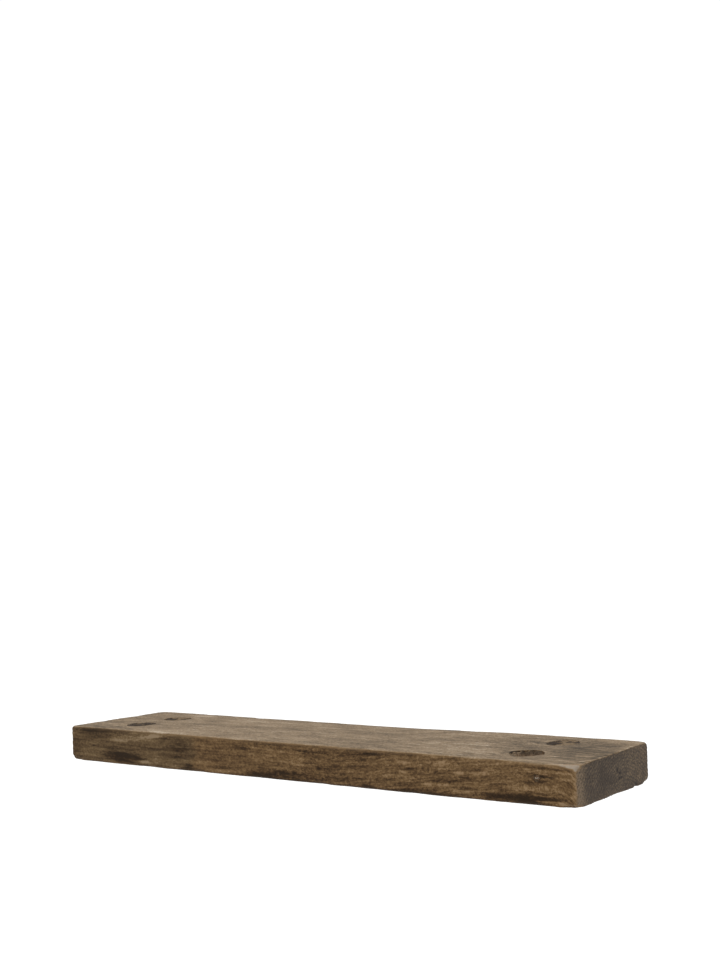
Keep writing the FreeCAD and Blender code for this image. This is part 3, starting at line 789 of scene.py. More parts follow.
def routed_pine(timber):
    """Bare pine where the router and the drill went, with a little dust in it."""
    r = Recipe("Routed pine")
    fibres = r.noise(r.attribute("grain", "Vector"), (20, 800, 800))
    phase = r.math("FRACT", r.math("DIVIDE", r.attribute("ring"), timber.ring_width))
    late = r.curve(phase, (0.0, 0.0), (0.4, 0.1), (0.85, 1.0), (1.0, 0.0))
    chatter = r.noise(r.coordinates(), (500, 90, 500), 1)
    level = r.plus(0.4, r.swing(fibres, 0.4), r.times(late, 0.25), r.swing(chatter, 0.2))
    base = r.ramp(level, tones(timber.fresh_colour, (0.0, 1.35), (0.5, 0.9), (1.0, 0.5)))
    normal = r.relief(r.plus(fibres, r.times(chatter, 0.6)), 0.2, 0.6)
    return r.finish(Base_Color=base, Roughness=0.75, Normal=normal)


def knot_wood(knots):
    """Dead knot: blue-grey where it is dead, brown where it is torn, tan where it is sound; in the
    broken knot's hollow, torn wood lightened as painted light, and painted shadow at its far rim and
    right end.
    """
    r = Recipe("Knot wood")
    local = r.attribute("local", "Vector")
    x, y, _ = r.split(local)
    wobble = r.swing(r.noise(local, (160, 160, 60), 2), 3.2 * MM)
    distance = r.math("SQRT", r.plus(r.math("POWER", x, 2), r.math("POWER", y, 2)))
    rings = r.math("FRACT", r.math("DIVIDE", r.plus(distance, wobble), 1.5 * MM))
    late = r.curve(rings, (0.0, 0.0), (0.5, 0.3), (0.85, 1.0), (1.0, 0.0))
    strokes = r.noise(local, (360, 60, 200), 3, 0.6, 0.6)
    specks = r.noise(local, (420, 260, 300), 4, 0.7)
    level = r.plus(r.attribute("dead"), r.swing(strokes, 1.8), r.swing(specks, 1.4))
    stops = [(0.20, knots.sound_colour), (0.50, knots.brown_colour), (0.80, knots.dark_colour)]
    # Torn wood in the hollow: its own pale tone, with painted light on the far wall.
    torn = r.ramp(specks, tones(knots.torn_wood_and_painted_light_colour, (0.3, 0.35), (0.6, 1.2)))
    base = r.mix(r.attribute("torn"), r.ramp(level, stops), torn)
    light = r.plus(1.1, r.swing(specks, 0.6), r.times(late, -0.15))
    base = r.mix(1.0, base, r.curve(light, (0.0, 0.1), (1.0, 1.0)), "MULTIPLY")
    # Cracks, and the painted shadow at the hollow's far rim and right end, go near black.
    base = r.mix(r.times(r.attribute("cracks_and_painted_shadow"), 0.7), base, knots.crack_and_painted_shadow_colour)
    return r.finish(
        Base_Color=base,
        Roughness=0.75,
        Specular_IOR_Level=knots.wax,
        Normal=r.relief(r.plus(specks, r.times(late, 0.4)), 0.4, 0.8),
    )


def rusty_iron(steel):
    """Nail: scaly rust, with bare iron where it snapped, brightened and shaped as a painted glint."""
    r = Recipe("Rusty iron")
    place = r.coordinates()
    scale = r.noise(place, 900, 4, 0.7)
    pits = r.noise(place, 2600, 2)
    rust = r.ramp(scale, tones(steel.rust_colour, (0.25, 0.4), (0.5, 1.0), (0.75, 2.2)))
    bare = r.smooth(r.plus(scale, r.swing(pits, 0.3)), 0.42, 0.60)
    # Bare iron, bright enough to stand as a painted glint.
    bare_iron_and_painted_glint = r.times(r.attribute("bare"), bare)
    return r.finish(
        Base_Color=r.mix(bare_iron_and_painted_glint, rust, steel.iron_and_painted_glint_colour),
        Metallic=r.times(bare_iron_and_painted_glint, 0.2),
        Roughness=r.plus(0.85, r.times(bare_iron_and_painted_glint, -0.45)),
        Normal=r.relief(r.plus(scale, r.times(pits, 0.4)), 0.25, 0.8),
    )


def zinc_steel(steel):
    """Zinc plate: spangled, dulled in patches, with fine drawing lines."""
    r = Recipe("Zinc steel")
    place = r.coordinates()
    clouds = r.noise(place, 120, 4, 0.65)
    spangle = r.noise(place, 520, 1, distortion=1.2)
    drawn = r.noise(place, (2200, 60, 2200), 2)
    level = r.plus(clouds, r.swing(spangle, 0.35), r.swing(drawn, 0.15))
    return r.finish(
        Base_Color=r.ramp(level, tones(steel.zinc_colour, (0.2, 0.62), (0.5, 1.0), (0.8, 1.35))),
        Metallic=0.9,
        Roughness=r.plus(0.34, r.swing(clouds, 0.3), r.swing(spangle, 0.12)),
        Normal=r.relief(r.plus(drawn, r.times(spangle, 0.5)), 0.06, 0.5),
    )


def weld_steel(steel):
    """Weld bead: dull grey with straw and blue heat tints in its ripples."""
    r = Recipe("Weld steel")
    place = r.coordinates()
    tints = [
        (0.30, steel.weld_colour),
        (0.46, steel.straw_colour),
        (0.56, steel.blued_colour),
        (0.70, steel.weld_colour),
    ]
    grit = r.noise(place, 2400, 2)
    return r.finish(
        Base_Color=r.ramp(r.noise(place, 420), tints),
        Metallic=0.85,
        Roughness=r.plus(0.42, r.swing(grit, 0.3)),
        Normal=r.relief(grit, 0.08, 0.6),
    )


def screw_steel(steel):
    """Yellow zinc: gold with greenish clouds and fine scratches."""
    r = Recipe("Screw steel")
    place = r.coordinates()
    clouds = r.noise(place, (300, 200, 300))
    golds = tones(steel.brass_colour, (0.3, 0.75), (0.5, 1.0), (0.62, 1.15))
    return r.finish(
        Base_Color=r.ramp(clouds, [*golds, (0.75, steel.green_colour)]),
        Metallic=0.95,
        Roughness=r.plus(0.28, r.swing(clouds, 0.25)),
        Normal=r.relief(r.noise(place, 1800, 2), 0.04, 0.4),
    )


def plug_nylon(plugs):
    """Moulded nylon: grey, a little cloudy, with a fine mould texture."""
    r = Recipe("Plug nylon")
    place = r.coordinates()
    clouds = r.noise(place, (150, 60, 150))
    stipple = r.noise(place, 3000, 2)
    return r.finish(
        Base_Color=r.ramp(clouds, tones(plugs.nylon_colour, (0.3, 0.88), (0.7, 1.10))),
        Roughness=r.plus(0.48, r.swing(stipple, 0.15)),
        Normal=r.relief(stipple, 0.03, 0.5),
        Subsurface_Weight=0.15,
        Subsurface_Scale=0.8 * MM,
    )


# ---------------------------------------------------------------------------------- the plank


class Plank:
    """The plank's shape and grain, which its sockets and knots share."""

    PITH = (-50 * MM, -60 * MM)
    PAST = 2 * MM

    # How the grain runs: the eye that it makes round a knot, how far in from the front edge it
    # still bends, and where it slopes up and at last curls over, near the right end.
    EYE_LENGTH = 1.7
    EYE_REACH = 2.6
    FRONT_GRAIN = 22 * MM
    SLOPE = 0.12
    SLOPE_FROM, SLOPE_LENGTH = 60 * MM, 180 * MM
    CURL = 9 * MM
    CURL_FROM, CURL_LENGTH = 279 * MM, 21 * MM

    # Where things begin and end along the plank, measured from its middle.
    BACK_RISES = (20 * MM, 190 * MM)
    FRONT_DIPS = (230 * MM, 290 * MM)
    UNDERSIDE_LIFTS = (180 * MM, 300 * MM)
    LEFT_END = (-280 * MM, -296 * MM)
    RIGHT_END = (286 * MM, 297 * MM)
    RUBBED_FROM = (-275 * MM, -215 * MM)
    BARE_CORNER = (274 * MM, 292 * MM)
    RIGHT_ARRIS = (296 * MM, 299 * MM)

    # The bare tip of the right front corner, and the thinnest and widest that an edge is rounded.
    BARE_TIP = np.array([10, 7.5, 2.1]) * MM
    ARRIS_LIMITS = (0.7 * MM, 10.0 * MM)

    # The outline of a knot: lobes and how far they swell it, and how blunt a broken one is.
    KNOT_POINTS = 180
    KNOT_LOBES = ((2, 0.045), (3, 0.030), (5, 0.016), (9, 0.010))
    BLUNTNESS = 0.045
    BLUNT_WAY = 0.63

    # The points along a drying crack, and how far it opens past the face that it starts on.
    CRACK_POINTS = 15
    CRACK_PAST = 1.2 * MM

    # Lines of points along each axis: the width of the rims, where they are close, and how many
    # cells there are in a rim and between the rims.
    LINES = ((14 * MM, 10, 190), (9 * MM, 8, 104), (6 * MM, 7, 22))

    # Faces of a recess this close to the plank's back are worn like the back itself.
    LIP = 0.9 * MM

    def __init__(self, timber, knots):
        self.timber = timber
        self.knots = knots
        self.low, self.high = corners_of("shelf_board")
        self.half = (self.high - self.low) / 2.0
        self.middle = (self.high + self.low) / 2.0
        self.noise = Noise(4)
        self.rough = Noise(5)

    def place_of_knot(self, knot):
        """Where a knot's middle is along and across the plank, and its radius on top."""
        low, high = corners_of(knot.node)
        return *(low + high)[:2] / 2.0, radius_of(knot.node)

    def faces_at(self, along, across):
        """Heights of the warped plank's underside and top at a place along and across it."""
        timber = self.timber
        back = (across - self.low[1]) / (self.high[1] - self.low[1])
        rising = ease(along, *self.BACK_RISES)
        behind = timber.back_rise * rising - timber.back_dip * (1.0 - rising)
        before = -timber.front_dip * ease(along, *self.FRONT_DIPS)
        lift = timber.lift * (0.45 + 0.65 * back) * ease(along, *self.UNDERSIDE_LIFTS)
        return self.low[2] + lift, self.high[2] + behind * back + before * (1.0 - back)

    def grain_of(self, points):
        """Grain coordinates: along, across and up, bent round each knot and branch."""
        along, across, up = points.T.copy()
        for knot in KNOTS:
            x, y, radius = self.place_of_knot(knot)
            across -= self.bend(along - x, points[:, 1] - y, radius)
        near_front = bump(points[:, 1] - self.low[1], self.FRONT_GRAIN)
        for branch in BURIED_BRANCHES:
            offset = points[:, 2] - branch.up * MM
            up -= self.bend(along - branch.along * MM, offset, branch.radius * MM) * near_front
        curl = self.CURL * np.clip((along - self.CURL_FROM) / self.CURL_LENGTH, 0.0, 1.0) ** 2.5
        slope = self.SLOPE * np.clip(along - self.SLOPE_FROM, 0.0, self.SLOPE_LENGTH)
        up += (curl - slope) * near_front
        return np.column_stack([along, across, up])

    def bend(self, along, offset, radius):
        """How far the grain moves aside past a knot, from the distances to its middle."""
        reach = np.maximum((along / self.EYE_LENGTH) ** 2 + offset**2, radius**2)
        fading = self.EYE_REACH * radius
        return offset * radius**2 / reach * bump(along, fading) * bump(offset, fading)

    def rings_of(self, points, grain):
        """Distance of each point from the pith, as the rings run."""
        _, across, up = grain.T
        distance = np.hypot(across - self.PITH[0], up - self.PITH[1])
        slope = 0.012 * points[:, 0]
        slow = 2.4 * MM * self.noise(points, (190, 60, 60))
        quick = 0.7 * MM * self.rough(points, (45, 16, 16))
        return distance + slope + slow + quick

    def hardness_of(self, rings):
        """1 on the hard late wood of each ring and 0 on the soft early wood."""
        phase = (rings / self.timber.ring_width) % 1.0
        return ease(phase, 0.3, 0.85) * ease(phase, 1.0, 0.93)

    def stain_and_painted_shade_of(self, points):
        """Dark and pale patches on the front, the top and the ends; the long dark ones along the
        front's lower edge are painted shade.
        """
        along, across, up = points.T / MM
        front = bump(across - self.low[1] / MM, 5.0)
        top = bump(up - self.high[2] / MM, 2.5) * (1.0 - front)
        end = bump(along - self.high[0] / MM, 3.0)
        ragged = 1.0 + 0.45 * self.rough(points, (7, 6, 1.6)) + 0.3 * self.noise(points, (3, 3, 0.9))
        total = front * patched(along, up, FRONT_PATCHES, ragged)
        total += top * patched(along, across, TOP_PATCHES, ragged)
        return total * (1.0 - end) + end * patched(across, up, END_PATCHES, ragged)

    def to_edge(self, points):
        """How far each point of the surface is from the nearest edge of the plank."""
        to_faces = self.half - np.abs(points - self.middle)
        return np.sort(to_faces, axis=1)[:, 1]

    def wear_of(self, points):
        """How much each point has been rubbed: most on the front's upper edge and near corner."""
        along, across, up = points.T
        uneven = 0.65 + 0.55 * self.rough(points, (26, 9, 5)) + 0.25 * self.noise(points, (7, 4, 3))
        front = bump(across - self.low[1], 6 * MM)
        above = ease(up, 0.0, 12 * MM)
        from_corner = points - np.array([self.high[0], self.low[1], self.high[2]])
        corner = ease(along, *self.BARE_CORNER) * bump(from_corner[:, 1], 14 * MM)
        corner *= ease(up, 10 * MM, 15 * MM)
        upright = ease(along, *self.RIGHT_ARRIS) * ease(up, 14 * MM, 10 * MM) * front
        # All edges are rubbed, the front's upper one more, and the upright one at the right less.
        strength = (0.30 + 0.55 * front * above) * (1.0 - 0.8 * upright) + 1.4 * corner
        # The left end is rubbed less.
        strength *= 0.4 + 0.6 * ease(along, *self.RUBBED_FROM)
        reach = (2.0 + 1.6 * corner) * MM
        worn = np.clip(strength * uneven, 0.0, 2.0) * bump(self.to_edge(points), reach)
        tip = bump(np.linalg.norm(from_corner / self.BARE_TIP, axis=1), 1.0)
        return worn + 1.4 * tip * (0.9 + 0.4 * self.noise(points, (4, 2, 2)))

    def arris_radius(self, points):
        """How far each point's nearest edge is rounded over."""
        timber = self.timber
        x, y, z = (points - self.middle).T
        above = ease(z, -1 * MM, 1 * MM)
        lower = 1.0 + 1.4 * (1.0 - above)
        long_edge = timber.bottom_arris + (timber.top_arris - timber.bottom_arris) * above
        right = ease(x, *self.RIGHT_END)
        corner = right * ease(np.abs(y), self.half[1] - 15 * MM, self.half[1] - 4 * MM)
        radius = long_edge + (timber.left_arris * lower - long_edge) * ease(x, *self.LEFT_END)
        radius += (timber.right_arris - radius) * right
        radius += (timber.corner_arris * (0.6 + 0.45 * lower) - radius) * corner
        uneven = 1.0 + 0.32 * self.noise(points, (24, 24, 60)) + 0.18 * self.rough(points, (9, 9, 60))
        return np.clip(radius * uneven, *self.ARRIS_LIMITS)

    def rounded(self, points):
        """Rounds a box's points in plan and along its edges; gives points and outward normals."""
        timber = self.timber
        from_middle = points - self.middle
        sign = np.where(from_middle < 0.0, -1.0, 1.0)
        reach = np.abs(from_middle)
        left, front, _ = from_middle.T < 0.0
        left_corner = np.where(front, timber.front_left_corner, timber.back_left_corner)
        corner = np.where(left, left_corner, timber.right_corner)

        # Seen from above, each square corner is pulled in to a round one.
        centre = self.half[:2] - corner[:, None]
        plan = reach[:, :2] - centre
        in_corner = (plan > 0.0).all(axis=1)
        diagonal = np.hypot(*plan.T)
        longest = plan.max(axis=1)
        squeeze = np.where(in_corner, longest / np.maximum(diagonal, 1e-9), 1.0)
        plan *= squeeze[:, None]
        diagonal *= squeeze
        straight = np.stack([plan[:, 0] >= plan[:, 1], plan[:, 0] < plan[:, 1]], -1).astype(float)
        round_way = plan / np.maximum(diagonal, 1e-9)[:, None]
        outward = np.where(in_corner[:, None], round_way, straight)
        inside = corner - np.where(in_corner, diagonal, longest)

        # Then each edge between the sides and the top or the underside is pulled in too.
        radius = self.arris_radius(points)
        upward = np.clip(radius - (self.half[2] - reach[:, 2]), 0.0, None)
        sideways = np.clip(radius - inside, 0.0, None)
        pull = np.minimum(radius / np.maximum(np.hypot(upward, sideways), 1e-9), 1.0)
        flat = centre + plan - outward * (sideways * (1.0 - pull))[:, None]
        result = np.column_stack([flat, reach[:, 2] - upward * (1.0 - pull)])
        normal = np.column_stack([outward * sideways[:, None], upward])
        normal /= np.linalg.norm(normal, axis=1)[:, None]
        return self.middle + result * sign, normal * sign

    def worn_away(self, points):
        """How deep the surface is worn at each point: rings, hewn hollows, nicks and chips."""
        timber = self.timber

        # The soft wood is worn below the hard wood, most on the front and at the ends.
        soft = 1.0 - self.hardness_of(self.rings_of(points, self.grain_of(points)))
        front = bump(points[:, 1] - self.low[1], 3 * MM)
        end = bump(self.half[0] - np.abs(points[:, 0]), 2 * MM)
        relief = timber.ring_relief * (0.6 + 0.7 * front + 0.8 * end) * soft

        # The front was hewn in slow hollows, and the fibres are torn along the plank.
        wave = self.noise(points, (70, 40, 17)) + 0.5 * self.rough(points, (24, 20, 8))
        hewn = timber.hewn_depth * (0.35 + 0.65 * front) * (0.5 + 0.42 * wave)
        torn = 0.06 * MM * (1.0 + self.rough(points, (12, 1.6, 1.6)))

        # Nicks lie along the edges, and chips where they were listed.
        nicked = np.clip(self.noise(points, (6, 5, 5)) - 0.25, 0.0, None) / 0.5
        nicks = timber.nick_depth * nicked * bump(self.to_edge(points), 1.6 * MM)
        depth = relief + np.clip(hewn, 0.0, None) + torn + nicks
        ragged = 1.0 + 0.4 * self.rough(points, 4)
        for chip in CHIPS:
            middle = np.array([chip.along, chip.across, chip.up]) * MM
            reach = np.array([chip.length, chip.width, chip.height]) * MM
            away = (((points - middle) / reach) ** 2).sum(axis=1)
            depth += chip.depth * MM * np.exp(-((away * ragged) ** 1.5))
        return depth

    def shell(self):
        """The worn plank before anything is cut into it."""
        low, high = self.low, self.high
        lines = [stations(*ends, *cells) for *ends, cells in zip(low, high, self.LINES)]
        points, faces = box_shell(*lines)
        result, normal = self.rounded(points)
        result = result + normal * (self.timber.stock - self.worn_away(result))[:, None]
        under, over = self.faces_at(result[:, 0], result[:, 1])
        height = (result[:, 2] - low[2]) / (high[2] - low[2])
        result[:, 2] += (under - low[2]) * (1.0 - height) + (over - high[2]) * height
        return solid("plank", (result, faces))

    def knot_outline(self, knot):
        """A knot's outline, along and across, for a radius of 1."""
        angle = np.arange(self.KNOT_POINTS) * TURN / self.KNOT_POINTS
        draws = np.random.default_rng(knot.seed)
        outline = np.ones_like(angle)
        for lobes, swell in self.KNOT_LOBES:
            outline += swell * np.sin(lobes * angle + draws.uniform(0.0, TURN))
        outline -= self.BLUNTNESS * knot.broken * np.cos(4.0 * (angle - self.BLUNT_WAY))
        round_it = np.stack([np.cos(angle), np.sin(angle)], -1)
        return outline[:, None] * round_it * np.array(knot.longer)

    def sockets(self):
        """Solids that cut a tapered hole for each knot, a gap wider than the knot."""
        low, high = self.low[2], self.high[2]
        for knot in KNOTS:
            x, y, radius = self.place_of_knot(knot)
            outline = self.knot_outline(knot)
            rows = []
            for height in np.linspace(low - self.PAST, high + self.PAST, 24):
                depth = (high - height) / (high - low)
                reach = radius * (1.0 - (1.0 - self.knots.taper) * depth) + self.knots.gap
                flat = np.array([x, y]) + outline * reach
                rows.append(np.column_stack([flat, np.full(len(flat), height)]))
            yield solid("socket", capped_rows(rows))

    def bracket_cuts(self):
        """Solids that cut the recess and the bore for each side of the bracket."""
        timber = self.timber
        back = self.high[1]
        floor = back - timber.recess_depth
        mouth = timber.bore_radius + timber.weld_relief
        tip = back - timber.bore_depth
        recess = (timber.recess_length, timber.recess_height, timber.recess_corner)
        outline = rounded_rectangle(*recess, 10)
        bore = [
            (tip, 0.5 * MM),
            (tip + 3 * MM, timber.bore_radius),
            (floor - timber.weld_relief, timber.bore_radius),
            (floor, mouth),
            (floor + 1 * MM, mouth),
        ]
        for side in SIDES:
            middle = middle_of(f"wall_plate_{side}")
            layers = [(y, outline) for y in np.linspace(back + self.PAST, floor, 6)]
            yield solid("recess", stacked(layers, middle))
            yield solid("bore", turned(dense(bore, 3 * MM), 72, middle))

    def nail_hole(self):
        """The solid that cuts the nail's hole: a tight bore with a crushed mouth."""
        start, end = span_of("old_nail")
        radius = radius_of("old_nail")
        front = self.low[1]
        profile = [
            (front - 2 * MM, radius + 1.1 * MM),
            (front + 0.2 * MM, radius + 0.7 * MM),
            (front + 1.0 * MM, radius + 0.15 * MM),
            (start + 1.6 * MM, radius + 0.05 * MM),
            (end + 0.2 * MM, radius * 0.72),
        ]
        crushed = Noise(21)

        def ripple(place, angle):
            waves = skin_noise(crushed, place * 300, angle, 0.6)
            return 0.3 * MM * waves * ease(place, front + 1.0 * MM, front - 0.5 * MM)

        shape = turned(dense(profile, 1 * MM), 48, middle_of("old_nail"), ripple)
        yield solid("nail_hole", shape)

    def cracks(self):
        """Thin wedges that cut the drying cracks, each a little crooked and pointed at its ends."""
        share = np.linspace(0.0, 1.0, self.CRACK_POINTS)
        swell = np.sin(math.pi * share) ** 0.6
        for number, crack in enumerate(CRACKS):
            along = (crack.along + crack.length * share) * MM
            width = np.maximum(crack.width * swell, 0.04) * MM / 2.0
            depth = np.maximum(crack.depth * swell, 0.15) * MM
            spots = np.column_stack([along, np.full(len(share), number * 5.3 * MM), along * 0])
            across = crack.across * MM + 0.9 * MM * self.rough(spots, (9, 1, 1))
            yield self.wedge(crack.face, along, across, width, depth)

    def wedge(self, face, along, across, width, depth):
        """A thin wedge that opens on a face of the plank, and past the end if it starts there."""
        past = self.CRACK_PAST
        if abs(along[0]) >= self.half[0] - 1e-6:
            along[0] += math.copysign(past, along[0])
        under, over = self.faces_at(along, across)
        hewn = 0.35 * MM
        rows = []
        for side, level in ((-1, past), (1, past), (1, 0.0), (0, -1.0), (-1, 0.0)):
            spread = across + side * width
            inward = np.where(level < 0, depth + hewn, -level)
            if face == "front":
                rows.append(np.column_stack([along, self.low[1] + inward, spread]))
            elif face == "top":
                rows.append(np.column_stack([along, spread, over - inward]))
            else:
                rows.append(np.column_stack([along, spread, under + inward]))
        return solid("crack", capped_rows(np.array(rows).transpose(1, 0, 2)))

    def mark_routed_faces(self, mesh):
        """Gives the walls of the recesses and bores the second material."""
        timber = self.timber
        centres = np.empty(len(mesh.polygons) * 3)
        mesh.polygons.foreach_get("center", centres)
        x, y, z = centres.reshape(-1, 3).T
        slack = 0.2 * MM
        mouth = timber.bore_radius + timber.weld_relief
        routed = np.zeros(len(x), int)
        for side in SIDES:
            middle = middle_of(f"wall_plate_{side}")
            across = np.abs(x - middle[0])
            up = np.abs(z - middle[1])
            in_recess = across < timber.recess_length / 2.0 + slack
            in_recess &= up < timber.recess_height / 2.0 + slack
            in_recess &= (y > -timber.recess_depth - slack) & (y < -self.LIP)
            in_bore = (np.hypot(across, up) < mouth) & (y < 0) & (y > -timber.bore_depth - slack)
            routed[in_recess | in_bore] = 1
        mesh.polygons.foreach_set("material_index", routed)


class SHELF_OT_plank(bpy.types.Operator):
    """Make the worn plank, with its knot sockets, cracks, recesses and bores"""

    bl_idname = "shelf.plank"
    bl_label = "Plank"

    def execute(self, context):
        timber = context.scene.shelf_timber
        plank = Plank(timber, context.scene.shelf_knots)
        piece = plank.shell()
        cutters = [*plank.sockets(), *plank.bracket_cuts(), *plank.nail_hole(), *plank.cracks()]
        cut_away(piece, cutters, sharp_angle=50.0)
        mesh = piece.data
        points = points_of(mesh)
        grain = plank.grain_of(points)
        write_attribute(mesh, "grain", grain)
        write_attribute(mesh, "ring", plank.rings_of(points, grain))
        write_attribute(mesh, "stain_and_painted_shade", plank.stain_and_painted_shade_of(points))
        write_attribute(mesh, "wear", plank.wear_of(points))
        finishes = (aged_pine(timber), routed_pine(timber))
        put_in_place(piece, "shelf_board", "board", "aged_pine", *finishes)
        plank.mark_routed_faces(mesh)
        return {"FINISHED"}


# ---------------------------------------------------------------------------------- the knots


class DeadKnot:
    """The shape of one dead knot, about its middle and from its top down."""

    RINGS = 40
    WALL_ROWS = 20
    CRACKS = 8

    def __init__(self, knot, plank):
        self.knot = knot
        self.plank = plank
        self.settings = plank.knots
        self.noise = Noise(knot.seed)
        self.x, self.y, radius = plank.place_of_knot(knot)
        self.outline = plank.knot_outline(knot) * radius
        self.share = (np.arange(1, self.RINGS + 1) / self.RINGS)[:, None]
        flat = self.share[..., None] * self.outline
        self.spots = np.concatenate([flat, np.zeros((*flat.shape[:2], 1))], -1)
        self.along, self.across = np.moveaxis(flat, -1, 0)
        self.crack_depth = self.cracks()

    def cracks(self):
        """Depth of the cracks that run out from the middle."""
        settings = self.settings
        draws = np.random.default_rng(self.knot.seed + 100)
        wander = self.noise(self.spots, 5) * 1.1 * MM
        depth = np.zeros_like(wander)
        for direction in np.sort(draws.uniform(0.0, TURN, self.CRACKS)):
            cos, sin = math.cos(direction), math.sin(direction)
            forward = self.along * cos + self.across * sin
            aside = self.across * cos - self.along * sin
            starts = draws.uniform(0.05, 0.4)
            groove = bump(aside + wander, settings.crack_width)
            groove = groove * ease(self.share, starts, starts + 0.25)
            depth += draws.uniform(0.5, 1.0) * settings.crack_depth * groove * (forward > 0.0)
        return np.minimum(depth, settings.crack_depth)

    def past_loss(self):
        """How far each point of the top is outside the edge of the hollow."""
        settings = self.settings
        ragged = self.noise(self.spots, 3.5) * 1.3 * MM
        shape = settings.loss_width / settings.loss_length
        away = np.hypot((self.along - settings.loss_shift) * shape, self.across)
        return away + ragged - settings.loss_width

    def lost(self):
        """Where the knot has broken out, and where painted shade darkens the hollow's far edge and
        right end.
        """
        past = self.past_loss()
        lost = ease(past, 0.4 * MM, -0.8 * MM) * self.knot.broken
        # Painted shadow: a dark band under the hollow's far rim, and painted shade at its right end.
        rim = bump(past + 0.3 * MM, 1.2 * MM) * ease(self.across, 1 * MM, 7 * MM)
        right = ease(self.along, 8 * MM, 13 * MM)
        return lost, np.clip(rim + 0.6 * right, 0.0, 1.0) * self.knot.broken

    def sunk(self):
        """How far each point of the top lies below the plank's top."""
        distance = np.hypot(self.along, self.across)
        rings = 0.14 * MM * np.sin(distance / (1.6 * MM) * TURN)
        lumps = self.noise(self.spots, 4) * 0.30 * MM
        grit = self.noise(self.spots, 1.1) * 0.10 * MM
        sunk = self.knot.sunk * MM * (1.0 + self.share**4) + 0.7 * rings + lumps + grit
        sunk = sunk + self.crack_depth
        if self.knot.broken:
            hollow = ease(self.past_loss(), 0.0, -1.8 * MM)
            slant = (self.along + self.across) * math.sqrt(0.5)
            splinters = 0.8 * MM * np.abs(np.sin(slant / (2.2 * MM) + 2.0 * lumps / MM))
            floor = self.settings.loss_depth + splinters + 3.0 * lumps
            sunk = sunk + (floor - sunk) * hollow
            sunk = sunk + ease(self.along, 0.0, -6 * MM) * splinters * 1.2
        return np.maximum(sunk, 0.0)

    def rows(self):
        """Rows of points from the middle of the top, down the wall, to the middle below."""
        under, over = self.plank.faces_at(self.x, self.y)
        tops = over - self.sunk()
        bottoms = under + (0.3 * MM + self.crack_depth * 0.6)
        wall = np.linspace(0.0, 1.0, self.WALL_ROWS + 2)[1:-1][:, None]
        rims = tops[-1] + (bottoms[-1] - tops[-1]) * wall
        heights = np.vstack([tops, rims, bottoms[::-1]])
        shares = np.vstack([self.share, np.ones((self.WALL_ROWS, 1)), self.share[::-1]])
        taper = 1.0 - (1.0 - self.settings.taper) * (over - heights) / (over - under)
        reach = (shares * taper)[..., None] * self.outline
        return np.concatenate([np.array([self.x, self.y]) + reach, heights[..., None]], -1)

    def spread(self, tops, wall, bottoms):
        """One value for each point of the solid, from those of its top, its wall and its bottom."""
        walls = np.broadcast_to(wall, (self.WALL_ROWS, tops.shape[1]))
        return np.append(np.vstack([tops, walls, bottoms[::-1]]).ravel(), [tops[0, 0], 0.0])

    def marks(self, points):
        """What the material reads: a place turned by an eighth, cracks with the painted shadow of the
        hollow's rim, torn wood and dead wood.
        """
        local = points - np.array([self.x, self.y, self.plank.faces_at(self.x, self.y)[1]])
        along, across, up = local.T
        turned_place = [(along + across) * math.sqrt(0.5), (along - across) * math.sqrt(0.5), up]
        cracks_and_painted_shadow = ease(self.crack_depth, 0.2 * MM, self.settings.crack_depth * 0.8)
        lost, shaded = self.lost()
        ragged = 1.0 + 0.6 * self.noise(points, 4)
        patches = patched(along / MM, across / MM, self.knot.patches, ragged)
        return {
            "local": np.column_stack(turned_place),
            "cracks_and_painted_shadow": self.spread(np.maximum(cracks_and_painted_shadow, shaded), 1.0 - lost[-1], cracks_and_painted_shadow),
            "torn": self.spread(lost, lost[-1], np.zeros_like(lost)),
            "dead": self.knot.dead + patches,
        }


class SHELF_OT_knots(bpy.types.Operator):
    """Make the four dead knots, one of them partly broken out"""

    bl_idname = "shelf.knots"
    bl_label = "Knots"

    def execute(self, context):
        knots = context.scene.shelf_knots
        plank = Plank(context.scene.shelf_timber, knots)
        finish = knot_wood(knots)
        for knot in KNOTS:
            dead_knot = DeadKnot(knot, plank)
            name = knot.node.replace("knot", "dead_knot")
            piece = solid(name, capped_rows(dead_knot.rows()), sharp_angle=60.0)
            for mark, values in dead_knot.marks(points_of(piece.data)).items():
                write_attribute(piece.data, mark, values)
            put_in_place(piece, knot.node, "board", "knot_wood", finish)
        return {"FINISHED"}


# ---------------------------------------------------------------------------------- the nail


